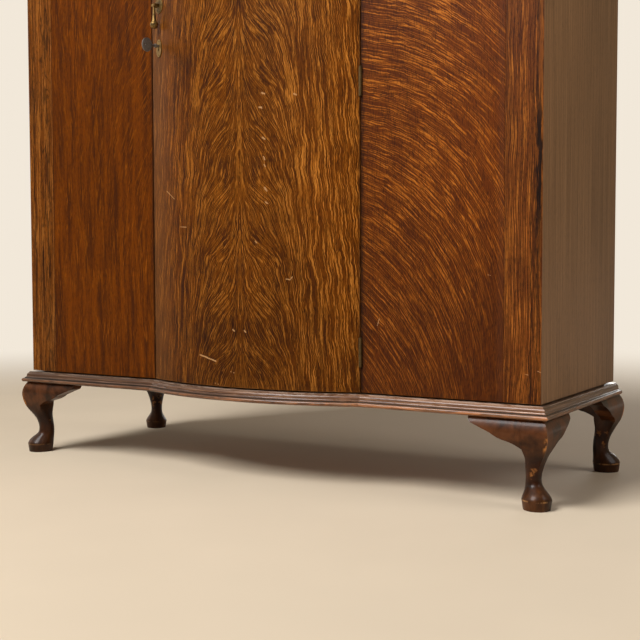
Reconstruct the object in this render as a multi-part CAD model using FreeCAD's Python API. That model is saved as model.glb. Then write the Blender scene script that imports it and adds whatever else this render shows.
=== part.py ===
import FreeCAD, Part
import math
import os

# Linen press: one bowed door between two flat wings, on diagonal cabriole legs.
# Millimetres, +Z up, the front faces -Y and X runs along the width.
# Pieces are drawn with y = 0 on the carcass front. They are moved along Y when they are saved,
# so that the origin lies on the floor under the middle of the whole part.

# Carcass
carcass_width = 1160.0
carcass_depth = 408.0
side_thickness = 19.0
front_thickness = 19.0
board_thickness = 18.0
housing_depth = 6.0
shadow_gap = 3.0
stile_width = 67.0
tongue_length = 8.0
tongue_thickness = 6.0
tongue_clearance = 0.2
joint_chamfer = 0.6
post_width = 40.0
post_depth = 32.0
stop_width = 6.0
stop_depth = 12.0
stop_clearance = 0.5

# Back
back_thickness = 16.0
back_panel_thickness = 6.0
back_rebate = 8.0
muntin_width = 50.0
back_clearance = 0.2

# Linen shelves
shelf_thickness = 18.0
shelf_setback = 55.0
bearer_width = 16.0
bearer_height = 22.0

# Bowed door
door_width = 474.0
door_height = 1115.0
door_thickness = 22.0
door_skin = 4.0
door_stile_width = 60.0
door_rail_width = 64.0
door_gap = 2.0
door_clearance = 3.0
bow_rise = 50.0

# Base frame and cornice
base_thickness = 21.5
base_projection = 18.0
cornice_thickness = 24.0
cornice_projection = 20.0
rail_width = 70.0
top_panel_thickness = 8.0
top_panel_rebate = 10.0

# Cabriole legs
leg_height = 153.0
leg_block = 47.0
leg_block_drop = 47.0
knee_projection = 17.4
knee_drop = 26.0
leg_top_projection = 8.3
leg_foot_projection = 14.0
pad_height = 17.0
dowel_radius = 8.0
dowel_depth = 28.0
dowel_rise = 16.0
dowel_clearance = 0.1

# Knee blocks
front_ear_length = 97.0
side_ear_length = 82.0
ear_depth = 50.0
ear_thickness = 32.0
ear_glue_line = 0.2

# Butt hinges
hinge_length = 51.0
hinge_margin = 47.0
leaf_width = 20.0
leaf_thickness = 1.5
knuckle_radius = 3.2
knuckle_gap = 0.3
pin_radius = 1.5
pin_clearance = 0.05
pin_proud = 1.5
pin_head_radius = 2.4
pin_head_height = 1.8
screw_line = 9.5
screw_pitch = 17.0
screw_length = 15.0
screw_radius = 1.6
screw_head_radius = 3.1
screw_head_height = 1.3
screw_slot = 0.7
screw_clearance = 0.05

# Lock
lock_rise = 660.0
lock_backset = 26.0
lock_case_width = 44.0
lock_case_height = 60.0
lock_case_depth = 13.0
lock_case_front = 20.0
lock_wall = 1.2
bolt_height = 14.0
bolt_thickness = 3.5
bolt_tail = 14.0
bolt_throw = 10.0
bolt_clearance = 0.4
key_radius = 2.5
key_reach = 20.0
key_bit = 9.0
key_bit_thickness = 2.2
key_clearance = 0.4
key_bow_width = 27.0
key_bow_length = 21.0
key_bow_thickness = 3.2
key_hole_radius = 1.7
collar_radius = 4.0
collar_length = 3.0
escutcheon_height = 34.0
escutcheon_width = 20.0
escutcheon_thickness = 1.6
strike_height = 50.0
strike_depth = 17.0
strike_thickness = 1.2

# Drop handle
handle_rise = 78.0
rosette_radius = 15.0
rosette_thickness = 3.0
handle_pin_reach = 11.0
handle_pin_radius = 1.5
cheek_gap = 6.5
cheek_thickness = 2.2
cheek_radius = 3.0
eye_radius = 3.4
eye_clearance = 0.08
drop_length = 46.0
drop_radius = 8.0
drop_neck_radius = 2.2
stud_radius = 2.5
stud_clearance = 0.05
nut_radius = 6.0
nut_thickness = 4.0

# Length by which a cutting shape runs past the piece that it cuts
overrun = 5.0

# Outline of the mouldings from the foot up: a point to pass through, if the run is an arc, and its end.
# Each point is a share of the projection and a share of the thickness.
moulding_shares = [
    (None, (0.84, 0.0)),
    ((1.0, 0.175), (0.86, 0.35)),
    (None, (0.74, 0.38)),
    (None, (0.74, 0.43)),
    ((0.60, 0.515), (0.556, 0.66)),
    ((0.487, 0.815), (0.34, 0.925)),
    (None, (0.34, 1.0)),
]

# Sections of a leg below its square block. Height runs from the pad to the block. Front, back and half
# width are shares of the block's side along its diagonal, and the last value is how far the faces swell.
leg_shares = [
    (0.916, 1.231, 0.018, 0.585, 0.02),
    (0.821, 1.093, 0.048, 0.485, 0.07),
    (0.726, 0.946, 0.061, 0.410, 0.12),
    (0.611, 0.793, 0.048, 0.349, 0.16),
    (0.495, 0.703, 0.018, 0.298, 0.185),
    (0.379, 0.671, -0.003, 0.272, 0.195),
    (0.274, 0.716, -0.003, 0.283, 0.20),
    (0.200, 0.869, 0.006, 0.328, 0.20),
    (0.126, 1.050, 0.018, 0.404, 0.205),
    (0.063, 1.146, 0.029, 0.480, 0.207),
    (0.0, 1.184, 0.035, 0.535, 0.207),
]
# The same four plan shares where the pad stands on the floor
floor_shares = (1.135, 0.093, 0.479, 0.207)

# Underside of a knee block from the leg outward: points to pass through and ends, as shares of its
# length and of its depth.
ear_shares = [
    ((0.10, 0.885), (0.26, 0.765)),
    ((0.42, 0.672), (0.56, 0.52)),
    ((0.76, 0.362), (0.95, 0.22)),
    ((0.985, 0.13), (1.0, 0.06)),
]

# The bowed mouldings run this share of the bow's half angle, into the flat ones that they meet
bow_run_share = 1.06
# Place of a muntin's centre, as a share of the carcass width
muntin_share = 0.165
# The drop's neck half way down, as a share of its width where it meets the belly, and the angles from the
# top of the belly where the neck ends, the outline passes and the flat button starts
neck_waist_share = 0.56
drop_angles = (38, 100, 160)

# Places worked out from the sizes above
half_width = carcass_width / 2
half_door = door_width / 2
half_opening = half_door + door_gap
base_top = leg_height + base_thickness
front_foot = base_top + shadow_gap
front_head = front_foot + door_height
cornice_foot = front_head + shadow_gap
total_height = cornice_foot + cornice_thickness
floor_level = base_top + board_thickness
ceiling_level = cornice_foot - board_thickness
inner_half = half_width - side_thickness
board_half = inner_half + housing_depth
stile_inner = half_width - stile_width
back_face = carcass_depth - back_thickness
bow_half = half_door + door_gap / 2
bow_radius = (bow_half ** 2 + bow_rise ** 2) / (2 * bow_rise)
bow_centre = bow_radius - bow_rise
bow_angle = math.degrees(math.asin(bow_half / bow_radius))
inner_radius = bow_radius - door_thickness
door_back_edge = bow_centre - math.sqrt(inner_radius ** 2 - half_door ** 2)
leg_inner = leg_block - knee_projection
dowel_inset = leg_block / 2 - knee_projection
hinge_x = half_door + door_gap / 2
hinge_y = -pin_proud
lock_height = front_foot + lock_rise
handle_height = lock_height + handle_rise
lock_angle = math.asin((half_door - lock_backset) / bow_radius)
lock_case_face = door_thickness - lock_case_depth
bolt_face = lock_case_face + lock_wall + bolt_clearance
bolt_back = bolt_face + bolt_thickness
bolt_tip = (-lock_backset - bolt_face * math.sin(lock_angle)) / math.cos(lock_angle) + bolt_clearance
front_reach = bow_rise + max(base_projection, cornice_projection)
back_reach = carcass_depth + knee_projection
frame_shift = (front_reach - back_reach) / 2
shelf_names = ("lower_linen_shelf", "middle_linen_shelf", "upper_linen_shelf")
hinge_count = 3
knuckle_count = 5

V = FreeCAD.Vector
ORIGIN = V(0, 0, 0)
UP = V(0, 0, 1)
RIGHT = V(1, 0, 0)
BACK = V(0, 1, 0)


# Shapes used by several pieces

def block(x_low, x_high, y_low, y_high, z_low, z_high):
    return Part.makeBox(x_high - x_low, y_high - y_low, z_high - z_low, V(x_low, y_low, z_low))


def prism(points, z_low, z_high):
    corners = [V(x, y, z_low) for x, y in points]
    face = Part.Face(Part.makePolygon(corners + corners[:1]))
    return face.extrude(V(0, 0, z_high - z_low))


def rod(radius, start, direction, length):
    return Part.makeCylinder(radius, length, start, direction)


def draw_face(place, start, runs):
    # A run is (None, end) for a straight edge or (through, end) for an arc
    edges = []
    here = place(*start)
    for through, end in runs:
        there = place(*end)
        if through is None:
            edges.append(Part.LineSegment(here, there).toShape())
        else:
            edges.append(Part.Arc(here, place(*through), there).toShape())
        here = there
    return Part.Face(Part.Wire(edges))


def ellipse_plate(width, height, thickness, place, direction):
    # Oval plate in the plane across the direction, with its height along Z
    curve = Part.Ellipse(ORIGIN, max(width, height) / 2, min(width, height) / 2)
    plate = Part.Face(Part.Wire([curve.toShape()])).extrude(V(0, 0, thickness))
    if height > width:
        plate = plate.rotated(ORIGIN, UP, 90)
    if direction == "back":
        plate = plate.rotated(ORIGIN, RIGHT, 90).translated(V(0, thickness, 0))
    else:
        plate = plate.rotated(ORIGIN, UP, 90).rotated(ORIGIN, BACK, 90)
    return plate.translated(place)


def dome_run(radius, foot, rise):
    # Arc of a ball from the dome's rim to its crown
    ball = (radius ** 2 + rise ** 2) / (2 * rise)
    half_turn = math.asin(radius / ball) / 2
    through = (ball * math.sin(half_turn), foot + rise - ball + ball * math.cos(half_turn))
    return through, (0, foot + rise)


def left_of(shape):
    return shape.mirror(ORIGIN, RIGHT)


def rear_of(shape):
    return shape.mirror(V(0, carcass_depth / 2, 0), BACK)


def bow_cylinder(inset, z_low, z_high):
    return rod(bow_radius - inset, V(0, bow_centre, z_low), UP, z_high - z_low)


def bow_shell(front_inset, back_inset, x_low, x_high, z_low, z_high):
    # Slice of the door between two arcs about the bow's centre
    front = bow_cylinder(front_inset, z_low, z_high)
    hollow = bow_cylinder(back_inset, z_low - overrun, z_high + overrun)
    window = block(x_low, x_high, -bow_rise - overrun, door_back_edge + overrun, z_low, z_high)
    return front.common(window).cut(hollow)


# Legs, dowels and knee blocks, drawn at the front left corner

def leg_point(out, across, height):
    # Out runs along the leg's diagonal from the carcass corner, across runs square to it
    diagonal = math.sqrt(2)
    return V(-half_width + (across - out) / diagonal, -(out + across) / diagonal, height)


def leg_section(height, front, back, side, swell):
    middle = (front + back) / 2
    corners = [(front, 0), (middle, side), (back, 0), (middle, -side)]
    edges = []
    for index, (out, across) in enumerate(corners):
        next_out, next_across = corners[(index + 1) % len(corners)]
        here = leg_point(out, across, height)
        there = leg_point(next_out, next_across, height)
        if swell == 0:
            edges.append(Part.LineSegment(here, there).toShape())
            continue
        centre = leg_point(middle, 0, height)
        half_way = (here + there) / 2
        outward = (half_way - centre).normalize()
        crown = half_way + outward * (swell * (there - here).Length)
        edges.append(Part.Arc(here, crown, there).toShape())
    return Part.Wire(edges)


def knee_reach(height):
    # The knee's two faces swell in two parabolas that meet at its crown
    rise = height - (leg_height - knee_drop)
    if rise > 0:
        return knee_projection - (knee_projection - leg_top_projection) * (rise / knee_drop) ** 2
    fall = rise / (leg_block_drop - knee_drop)
    return knee_projection - (knee_projection - leg_foot_projection) * fall ** 2


def swelled_bar(x_low, x_high, rear, foot):
    # A bar under the front whose face has the swell of the knee, from a foot height to the leg's head
    line = [V(x_low, -knee_reach(foot), foot), V(x_low, -knee_projection, leg_height - knee_drop),
            V(x_low, -leg_top_projection, leg_height)]
    edges = []
    for start, end in zip(line, line[1:]):
        swell = Part.BezierCurve()
        swell.setPoles([start, V(x_low, -knee_projection, (start.z + end.z) / 2), end])
        edges.append(swell.toShape())
    sides = Part.makePolygon([line[2], V(x_low, rear, leg_height), V(x_low, rear, foot), line[0]])
    face = Part.Face(Part.Wire(edges + sides.Edges))
    return face.extrude(V(x_high - x_low, 0, 0))


def make_leg():
    diagonal = math.sqrt(2)
    heel = -leg_inner * diagonal
    shaft_length = leg_height - leg_block_drop - pad_height

    def shared_section(height, front, back, side, swell):
        front_out = heel + front * leg_block
        back_out = heel + back * leg_block
        return leg_section(height, front_out, back_out, side * leg_block, swell)

    block_foot = leg_height - leg_block_drop
    bar = swelled_bar(-half_width - knee_projection - overrun, -half_width + leg_inner, leg_inner, block_foot)
    square = bar.common(bar.mirror(V(-half_width, 0, 0), V(1, -1, 0)))
    half_side = (leg_foot_projection + leg_inner) / diagonal
    sections = [leg_section(block_foot, leg_foot_projection * diagonal, heel, half_side, 0)]
    for rise, *plan in leg_shares:
        sections.append(shared_section(pad_height + rise * shaft_length, *plan))
    shaft = Part.makeLoft(sections, True, False)
    pad = Part.makeLoft([sections[-1], shared_section(0, *floor_shares)], True, True)
    return square.fuse([shaft, pad]).removeSplitter().cut(make_dowel(dowel_clearance))


def make_dowel(clearance):
    foot = V(-half_width + dowel_inset, dowel_inset, leg_height - dowel_depth - clearance)
    return rod(dowel_radius + clearance, foot, UP, dowel_depth + dowel_rise + 2 * clearance)


def make_ear(length):
    # A front ear: its outline from the front, trimmed to the swell of the knee
    root = -half_width + leg_inner + ear_glue_line
    ear_back = ear_thickness - knee_projection
    runs = []
    for through, end in ear_shares:
        passing = (through[0] * length, through[1] * ear_depth)
        runs.append((passing, (end[0] * length, end[1] * ear_depth)))
    runs.append((None, (length, 0)))
    runs.append((None, (0, 0)))
    runs.append((None, (0, ear_depth)))

    def place(out, drop):
        return V(root + out, -knee_projection, leg_height - drop)

    solid = draw_face(place, (0, ear_depth), runs).extrude(V(0, ear_thickness, 0))
    return solid.common(swelled_bar(root, root + length, ear_back, leg_height - ear_depth - overrun))


def make_ears():
    front_ear = make_ear(front_ear_length)
    side_ear = make_ear(side_ear_length).mirror(V(-half_width, 0, 0), V(1, -1, 0))
    return Part.makeCompound([front_ear, side_ear])


def at_corners(shape):
    return {
        "front_left": shape,
        "front_right": left_of(shape),
        "rear_left": rear_of(shape),
        "rear_right": rear_of(left_of(shape)),
    }


# Moulded frames: the base under the carcass and the cornice above it

def moulding_face(place, projection, thickness, depth):
    runs = []
    for through, end in moulding_shares:
        passing = None
        if through is not None:
            passing = (through[0] * projection, through[1] * thickness)
        runs.append((passing, (end[0] * projection, end[1] * thickness)))
    runs.append((None, (-depth, thickness)))
    runs.append((None, (-depth, 0)))
    return draw_face(place, (-depth, 0), runs)


def moulded_frame(foot, thickness, projection, inverted):
    def level(rise):
        return foot + thickness - rise if inverted else foot + rise

    head = foot + thickness
    margin = projection + overrun
    outer = half_width + margin
    inner = half_width - rail_width

    def on_front(out, rise):
        return V(-outer, -out, level(rise))

    def on_bow(out, rise):
        return V(0, -bow_rise - out, level(rise))

    def on_right(out, rise):
        return V(half_width + out, -margin, level(rise))

    straight = moulding_face(on_front, projection, thickness, rail_width).extrude(V(2 * outer, 0, 0))
    face = moulding_face(on_bow, projection, thickness, (bow_rise + rail_width) / 2)
    axis_foot = V(0, bow_centre, 0)
    half_run = bow_run_share * bow_angle
    bowed = face.rotated(axis_foot, UP, -half_run).revolve(axis_foot, UP, 2 * half_run)
    bow_front = -bow_rise - margin
    corners = [(-outer, -margin), (-outer, bow_front), (outer, bow_front), (outer, -margin),
               (inner, rail_width), (-inner, rail_width)]
    front = straight.fuse(bowed).removeSplitter().common(prism(corners, foot, head))

    face = moulding_face(on_right, projection, thickness, rail_width)
    run = face.extrude(V(0, carcass_depth + margin, 0))
    corners = [(outer, -margin), (outer, carcass_depth), (inner, carcass_depth), (inner, rail_width)]
    right = run.common(prism(corners, foot, head))
    rear = block(-inner, inner, carcass_depth - rail_width, carcass_depth, foot, head)
    return {"front": front, "left": left_of(right), "right": right, "back": rear}


def make_base():
    frame = moulded_frame(leg_height, base_thickness, base_projection, False)
    bores = at_corners(make_dowel(dowel_clearance))
    for bore in bores.values():
        frame = {name: rail.cut(bore) for name, rail in frame.items()}
    return frame


def top_panel():
    inner = half_width - rail_width + top_panel_rebate
    front = rail_width - top_panel_rebate
    rear = carcass_depth - front
    return block(-inner, inner, front, rear, total_height - top_panel_thickness, total_height)


def make_cornice():
    frame = moulded_frame(cornice_foot, cornice_thickness, cornice_projection, True)
    return {name: rail.cut(top_panel()) for name, rail in frame.items()}


# Carcass

def make_right_side():
    # Mitred to the stile in front, rebated for the boards and grooved for the back
    corners = [(half_width, 0), (half_width, carcass_depth), (inner_half, carcass_depth),
               (inner_half, front_thickness)]
    side = prism(corners, front_foot, front_head)
    for level in (base_top, ceiling_level):
        side = side.cut(block(0, board_half, 0, back_face, level, level + board_thickness))
    groove_rear = back_face + back_panel_thickness
    return side.cut(block(0, inner_half + back_rebate, back_face, groove_rear, 0, total_height))


def make_right_stile():
    tongue_front = (front_thickness - tongue_thickness) / 2
    tongue_back = tongue_front + tongue_thickness
    groove_end = stile_inner + tongue_length + tongue_clearance
    corners = [(half_width, 0), (stile_inner + joint_chamfer, 0), (stile_inner, joint_chamfer),
               (stile_inner, tongue_front), (groove_end, tongue_front), (groove_end, tongue_back),
               (stile_inner, tongue_back), (stile_inner, front_thickness), (inner_half, front_thickness)]
    return prism(corners, front_foot, front_head)


def make_right_panel():
    tongue_front = (front_thickness - tongue_thickness) / 2
    tongue_back = tongue_front + tongue_thickness
    tongue_end = stile_inner + tongue_length
    corners = [(half_opening, 0), (stile_inner - joint_chamfer, 0), (stile_inner, joint_chamfer),
               (stile_inner, tongue_front), (tongue_end, tongue_front), (tongue_end, tongue_back),
               (stile_inner, tongue_back), (stile_inner, front_thickness), (half_opening, front_thickness)]
    return prism(corners, front_foot, front_head)


def make_right_post():
    return block(half_opening, half_opening + post_width, front_thickness, front_thickness + post_depth,
                 floor_level, ceiling_level)


def make_door_stop():
    front = door_back_edge + stop_clearance
    return block(-half_opening, -half_opening + stop_width, front, front + stop_depth,
                 floor_level, ceiling_level)


def make_board(foot):
    # A full width board whose front follows the bow inside the door
    head = foot + board_thickness
    board = block(-board_half, board_half, front_thickness, back_face, foot, head)
    doorway = block(-half_opening, half_opening, -bow_rise, door_back_edge + post_depth, foot, head)
    nose = bow_cylinder(door_thickness + door_clearance, foot, head).common(doorway)
    return board.cut(doorway).fuse(nose).removeSplitter()


def make_right_muntin():
    centre = muntin_share * carcass_width
    low = centre - muntin_width / 2
    high = centre + muntin_width / 2
    shoulder = back_face + back_panel_thickness + back_clearance
    tongue_low = low + back_rebate
    tongue_high = high - back_rebate
    corners = [(tongue_low, back_face), (tongue_high, back_face), (tongue_high, shoulder), (high, shoulder),
               (high, carcass_depth), (low, carcass_depth), (low, shoulder), (tongue_low, shoulder)]
    return prism(corners, base_top, cornice_foot)


def make_back_panels():
    rear = back_face + back_panel_thickness
    near = muntin_share * carcass_width - muntin_width / 2 + back_rebate - back_clearance
    far = muntin_share * carcass_width + muntin_width / 2 - back_rebate + back_clearance
    edge = inner_half + back_rebate - back_clearance
    centre = block(-near, near, back_face, rear, front_foot, front_head)
    right = block(far, edge, back_face, rear, front_foot, front_head)
    return {"left": left_of(right), "centre": centre, "right": right}


def shelf_level(index):
    clear = ceiling_level - floor_level - len(shelf_names) * shelf_thickness
    pitch = clear / (len(shelf_names) + 1) + shelf_thickness
    return floor_level + (index + 1) * pitch - shelf_thickness


def make_shelf(index):
    level = shelf_level(index)
    return block(-inner_half, inner_half, shelf_setback, back_face, level, level + shelf_thickness)


def make_right_bearers():
    bearers = []
    for index in range(len(shelf_names)):
        level = shelf_level(index)
        bearers.append(block(inner_half - bearer_width, inner_half, shelf_setback, back_face,
                             level - bearer_height, level))
    return Part.makeCompound(bearers)


# Door

def make_door():
    core_front = door_skin
    core_back = door_thickness - door_skin
    stile_edge = half_door - door_stile_width
    low = front_foot
    high = front_head
    rails = {
        "door_bottom_rail": low,
        "door_middle_rail": (low + high - door_rail_width) / 2,
        "door_top_rail": high - door_rail_width,
    }
    door = {
        "door_front_skin": bow_shell(0, core_front, -half_door, half_door, low, high),
        "door_inner_skin": bow_shell(core_back, door_thickness, -half_door, half_door, low, high),
        "door_hinge_stile": bow_shell(core_front, core_back, stile_edge, half_door, low, high),
        "door_lock_stile": bow_shell(core_front, core_back, -half_door, -stile_edge, low, high),
    }
    for name, foot in rails.items():
        head = foot + door_rail_width
        door[name] = bow_shell(core_front, core_back, -stile_edge, stile_edge, foot, head)
    return door


# Butt hinges

def hinge_levels():
    low = front_foot + hinge_margin + hinge_length / 2
    high = front_head - hinge_margin - hinge_length / 2
    step = (high - low) / (hinge_count - 1)
    return [low + index * step for index in range(hinge_count)]


def knuckle_zone(radius, index, extra):
    # One knuckle of a hinge at height zero, lengthened or shortened at both ends
    length = hinge_length / knuckle_count
    foot = -hinge_length / 2 + index * length - extra
    return rod(radius, V(hinge_x, hinge_y, foot), UP, length + 2 * extra)


def make_leaf(own_knuckles, other_knuckles, plate_low, plate_high):
    leaf = block(plate_low, plate_high, hinge_y, hinge_y + leaf_width, -hinge_length / 2, hinge_length / 2)
    for index in other_knuckles:
        leaf = leaf.cut(knuckle_zone(knuckle_radius + knuckle_gap, index, 0))
    for index in own_knuckles:
        leaf = leaf.fuse(knuckle_zone(knuckle_radius, index, -knuckle_gap / 2))
    bore_foot = V(hinge_x, hinge_y, -hinge_length / 2 - overrun)
    bore = rod(pin_radius + pin_clearance, bore_foot, UP, hinge_length + 2 * overrun)
    return leaf.removeSplitter().cut(bore)


def make_frame_leaf():
    return make_leaf((0, 2, 4), (1, 3), half_opening, half_opening + leaf_thickness)


def make_door_leaf():
    return make_leaf((1, 3), (0, 2, 4), half_door - leaf_thickness, half_door)


def make_pin():
    foot = V(hinge_x, hinge_y, -hinge_length / 2 - pin_clearance)
    pin = rod(pin_radius, foot, UP, hinge_length + 2 * pin_clearance)
    for end in (-1, 1):
        seat = end * (hinge_length / 2 + pin_clearance)
        rim = pin_head_height / 2
        runs = [(None, (pin_head_radius, 0)), (None, (pin_head_radius, rim)),
                dome_run(pin_head_radius, rim, pin_head_height - rim), (None, (0, 0))]
        face = draw_face(lambda out, rise: V(hinge_x + out, hinge_y, seat + end * rise), (0, 0), runs)
        pin = pin.fuse(face.revolve(V(hinge_x, hinge_y, 0), UP, 360))
    return pin.removeSplitter()


def make_screw(start, direction, clearance):
    # Countersunk screw: the head lies flush with the leaf and the shank runs along the direction
    radius = screw_radius + clearance
    head = Part.makeCone(screw_head_radius + clearance, radius, screw_head_height, start, direction)
    return head.fuse(rod(radius, start, direction, screw_length + clearance))


def screw_places():
    return [(hinge_y + screw_line, step * screw_pitch) for step in (-1, 0, 1)]


def leaf_screws(plate_face, direction, clearance):
    screws = []
    for y_place, z_place in screw_places():
        screws.append(make_screw(V(plate_face, y_place, z_place), direction, clearance))
    return screws


def slotted(screw, plate_face):
    low = screw.BoundBox.Center.z - screw_slot / 2
    slot = block(plate_face - screw_slot, plate_face + screw_slot, -overrun, leaf_width,
                 low, low + screw_slot)
    return screw.cut(slot)


def hinge_recess():
    # Room in the wood for the knuckles, the pin's heads and both leaves
    reach = hinge_length / 2 + pin_head_height + knuckle_gap
    barrel = rod(knuckle_radius + knuckle_gap, V(hinge_x, hinge_y, -reach), UP, 2 * reach)
    leaves = block(half_door - leaf_thickness, half_opening + leaf_thickness, hinge_y, hinge_y + leaf_width,
                   -hinge_length / 2, hinge_length / 2)
    recess = barrel.fuse(leaves)
    for screw in leaf_screws(half_door, -RIGHT, screw_clearance):
        recess = recess.fuse(screw)
    for screw in leaf_screws(half_opening, RIGHT, screw_clearance):
        recess = recess.fuse(screw)
    return recess


def at_hinges(shape):
    return [shape.translated(V(0, 0, level)) for level in hinge_levels()]


def make_hinges():
    frame_leaf = make_frame_leaf()
    door_leaf = make_door_leaf()
    frame_screws = []
    door_screws = []
    for screw in leaf_screws(half_opening, RIGHT, screw_clearance):
        frame_leaf = frame_leaf.cut(screw)
    for screw in leaf_screws(half_door, -RIGHT, screw_clearance):
        door_leaf = door_leaf.cut(screw)
    for screw in leaf_screws(half_opening, RIGHT, 0):
        frame_screws += at_hinges(slotted(screw, half_opening))
    for screw in leaf_screws(half_door, -RIGHT, 0):
        door_screws += at_hinges(slotted(screw, half_door))
    return {
        "hinge_frame_leaves": Part.makeCompound(at_hinges(frame_leaf)),
        "hinge_door_leaves": Part.makeCompound(at_hinges(door_leaf)),
        "hinge_pins": Part.makeCompound(at_hinges(make_pin())),
        "hinge_frame_screws": Part.makeCompound(frame_screws),
        "hinge_door_screws": Part.makeCompound(door_screws),
    }


# Lock and handle, drawn with y = 0 on the door's face, +Y into the door and x = 0 at the keyhole

def at_lock(shape, height):
    turned = shape.rotated(ORIGIN, UP, -math.degrees(lock_angle))
    face_x = -bow_radius * math.sin(lock_angle)
    face_y = bow_centre - bow_radius * math.cos(lock_angle)
    return turned.translated(V(face_x, face_y, height))


def lock_case_block(inset):
    left = -lock_case_front + inset
    right = lock_case_width - lock_case_front - inset
    half = lock_case_height / 2 - inset
    return block(left, right, lock_case_face + inset, door_thickness - inset, -half, half)


def bolt_bar(clearance, tip):
    half = bolt_height / 2 + clearance
    return block(tip, bolt_tail, bolt_face - clearance, bolt_back + clearance, -half, half)


def keyway(y_low, y_high):
    half = key_bit_thickness / 2 + key_clearance
    hole = rod(key_radius + key_clearance, V(0, y_low, 0), BACK, y_high - y_low)
    return hole.fuse(block(-half, half, y_low, y_high, -key_bit - key_clearance, 0))


def make_lock_case():
    case = lock_case_block(0).cut(lock_case_block(lock_wall))
    case = case.cut(keyway(0, lock_case_face + lock_wall))
    return case.cut(bolt_bar(bolt_clearance, bolt_tip))


def make_bolt():
    bolt = bolt_bar(0, bolt_tip)
    half = key_radius + key_clearance
    return bolt.cut(block(-half, bolt_tail + overrun, 0, door_thickness, -half, half))


def make_key():
    shank_end = door_thickness - lock_wall - key_clearance
    shank = rod(key_radius, V(0, -key_reach, 0), BACK, key_reach + shank_end)
    half = key_bit_thickness / 2
    bit = block(-half, half, bolt_back + key_clearance, shank_end, -key_bit, 0)
    collar = rod(collar_radius, V(0, -key_reach / 2, 0), BACK, collar_length)
    bow_place = V(-key_bow_thickness / 2, -key_reach - key_bow_length / 2 + collar_length, 0)
    bow = ellipse_plate(key_bow_length, key_bow_width, key_bow_thickness, bow_place, "right")
    hole_start = bow_place - V(overrun, key_bow_length / 4, 0)
    hole = rod(key_hole_radius, hole_start, RIGHT, 2 * overrun + key_bow_thickness)
    return shank.fuse(bit).fuse(collar).fuse(bow).removeSplitter().cut(hole)


def make_escutcheon():
    place = V(0, -escutcheon_thickness, 0)
    plate = ellipse_plate(escutcheon_width, escutcheon_height, escutcheon_thickness, place, "back")
    plate = plate.translated(V(0, 0, -key_bit / 2))
    return plate.cut(keyway(-overrun, overrun))


def strike_block():
    rear = door_back_edge
    return block(-half_opening - strike_thickness, -half_opening, rear - strike_depth, rear,
                 lock_height - strike_height / 2, lock_height + strike_height / 2)


def bolt_mortise():
    # Room for the thrown bolt beyond the door's edge
    return at_lock(bolt_bar(bolt_clearance, bolt_tip - bolt_throw - bolt_clearance), lock_height)


def make_lock():
    return {
        "lock_case": at_lock(make_lock_case(), lock_height),
        "lock_bolt": at_lock(make_bolt(), lock_height),
        "lock_key": at_lock(make_key(), lock_height),
        "keyhole_escutcheon": at_lock(make_escutcheon(), lock_height),
        "strike_plate": strike_block().cut(bolt_mortise()),
    }


def make_rosette():
    # Domed back plate with two cheeks, a pin between them and a threaded stud behind
    rim = rosette_thickness / 3
    runs = [(None, (rosette_radius, 0)), (None, (rosette_radius, rim)),
            dome_run(rosette_radius, rim, rosette_thickness - rim), (None, (0, 0))]
    face = draw_face(lambda out, rise: V(out, -rise, 0), (0, 0), runs)
    plate = face.revolve(ORIGIN, BACK, 360)
    for side in (-1, 1):
        inner = side * cheek_gap / 2
        outer = inner + side * cheek_thickness
        low = min(inner, outer)
        cheek = block(low, low + cheek_thickness, -handle_pin_reach, -rim, -cheek_radius, cheek_radius)
        tip = rod(cheek_radius, V(low, -handle_pin_reach, 0), RIGHT, cheek_thickness)
        plate = plate.fuse(cheek).fuse(tip)
    pin = rod(handle_pin_radius, V(-cheek_gap / 2, -handle_pin_reach, 0), RIGHT, cheek_gap)
    stud = rod(stud_radius, ORIGIN, BACK, door_thickness + nut_thickness + stud_radius)
    return plate.fuse(pin).fuse(stud).removeSplitter()


def make_drop():
    # Pear drop turned about a vertical axis, hung from an eye on the pin
    eye_half = cheek_gap / 2 - knuckle_gap
    eye = rod(eye_radius, V(-eye_half, -handle_pin_reach, 0), RIGHT, 2 * eye_half)
    neck_top = -eye_radius / 2
    ball_centre = drop_radius - drop_length

    def on_ball(degrees):
        turn = math.radians(degrees)
        return drop_radius * math.sin(turn), ball_centre + drop_radius * math.cos(turn)

    shoulder, belly, button = drop_angles
    neck_foot = on_ball(shoulder)
    neck_waist = (neck_waist_share * neck_foot[0], (neck_top + neck_foot[1]) / 2)
    runs = [(neck_waist, neck_foot), (on_ball(belly), on_ball(button)), (None, (0, on_ball(button)[1])),
            (None, (0, neck_top)), (None, (drop_neck_radius, neck_top))]
    face = draw_face(lambda out, rise: V(out, -handle_pin_reach, rise), (drop_neck_radius, neck_top), runs)
    pear = face.revolve(V(0, -handle_pin_reach, 0), UP, 360)
    bore = rod(handle_pin_radius + eye_clearance, V(-cheek_gap, -handle_pin_reach, 0), RIGHT, 2 * cheek_gap)
    return eye.fuse(pear).removeSplitter().cut(bore)


def make_nut():
    corners = []
    seat = door_thickness + stud_clearance
    for corner in range(6):
        turn = math.radians(60 * corner)
        corners.append(V(nut_radius * math.cos(turn), seat, nut_radius * math.sin(turn)))
    nut = Part.Face(Part.makePolygon(corners + corners[:1])).extrude(V(0, nut_thickness, 0))
    return nut.cut(rod(stud_radius + stud_clearance, ORIGIN, BACK, door_thickness + 2 * nut_thickness))


def make_handle():
    return {
        "handle_rosette": at_lock(make_rosette(), handle_height),
        "handle_drop": at_lock(make_drop(), handle_height),
        "handle_nut": at_lock(make_nut(), handle_height),
    }


# Assembly

def cut_all(shape, tools):
    for tool in tools:
        shape = shape.cut(tool)
    return shape


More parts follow.
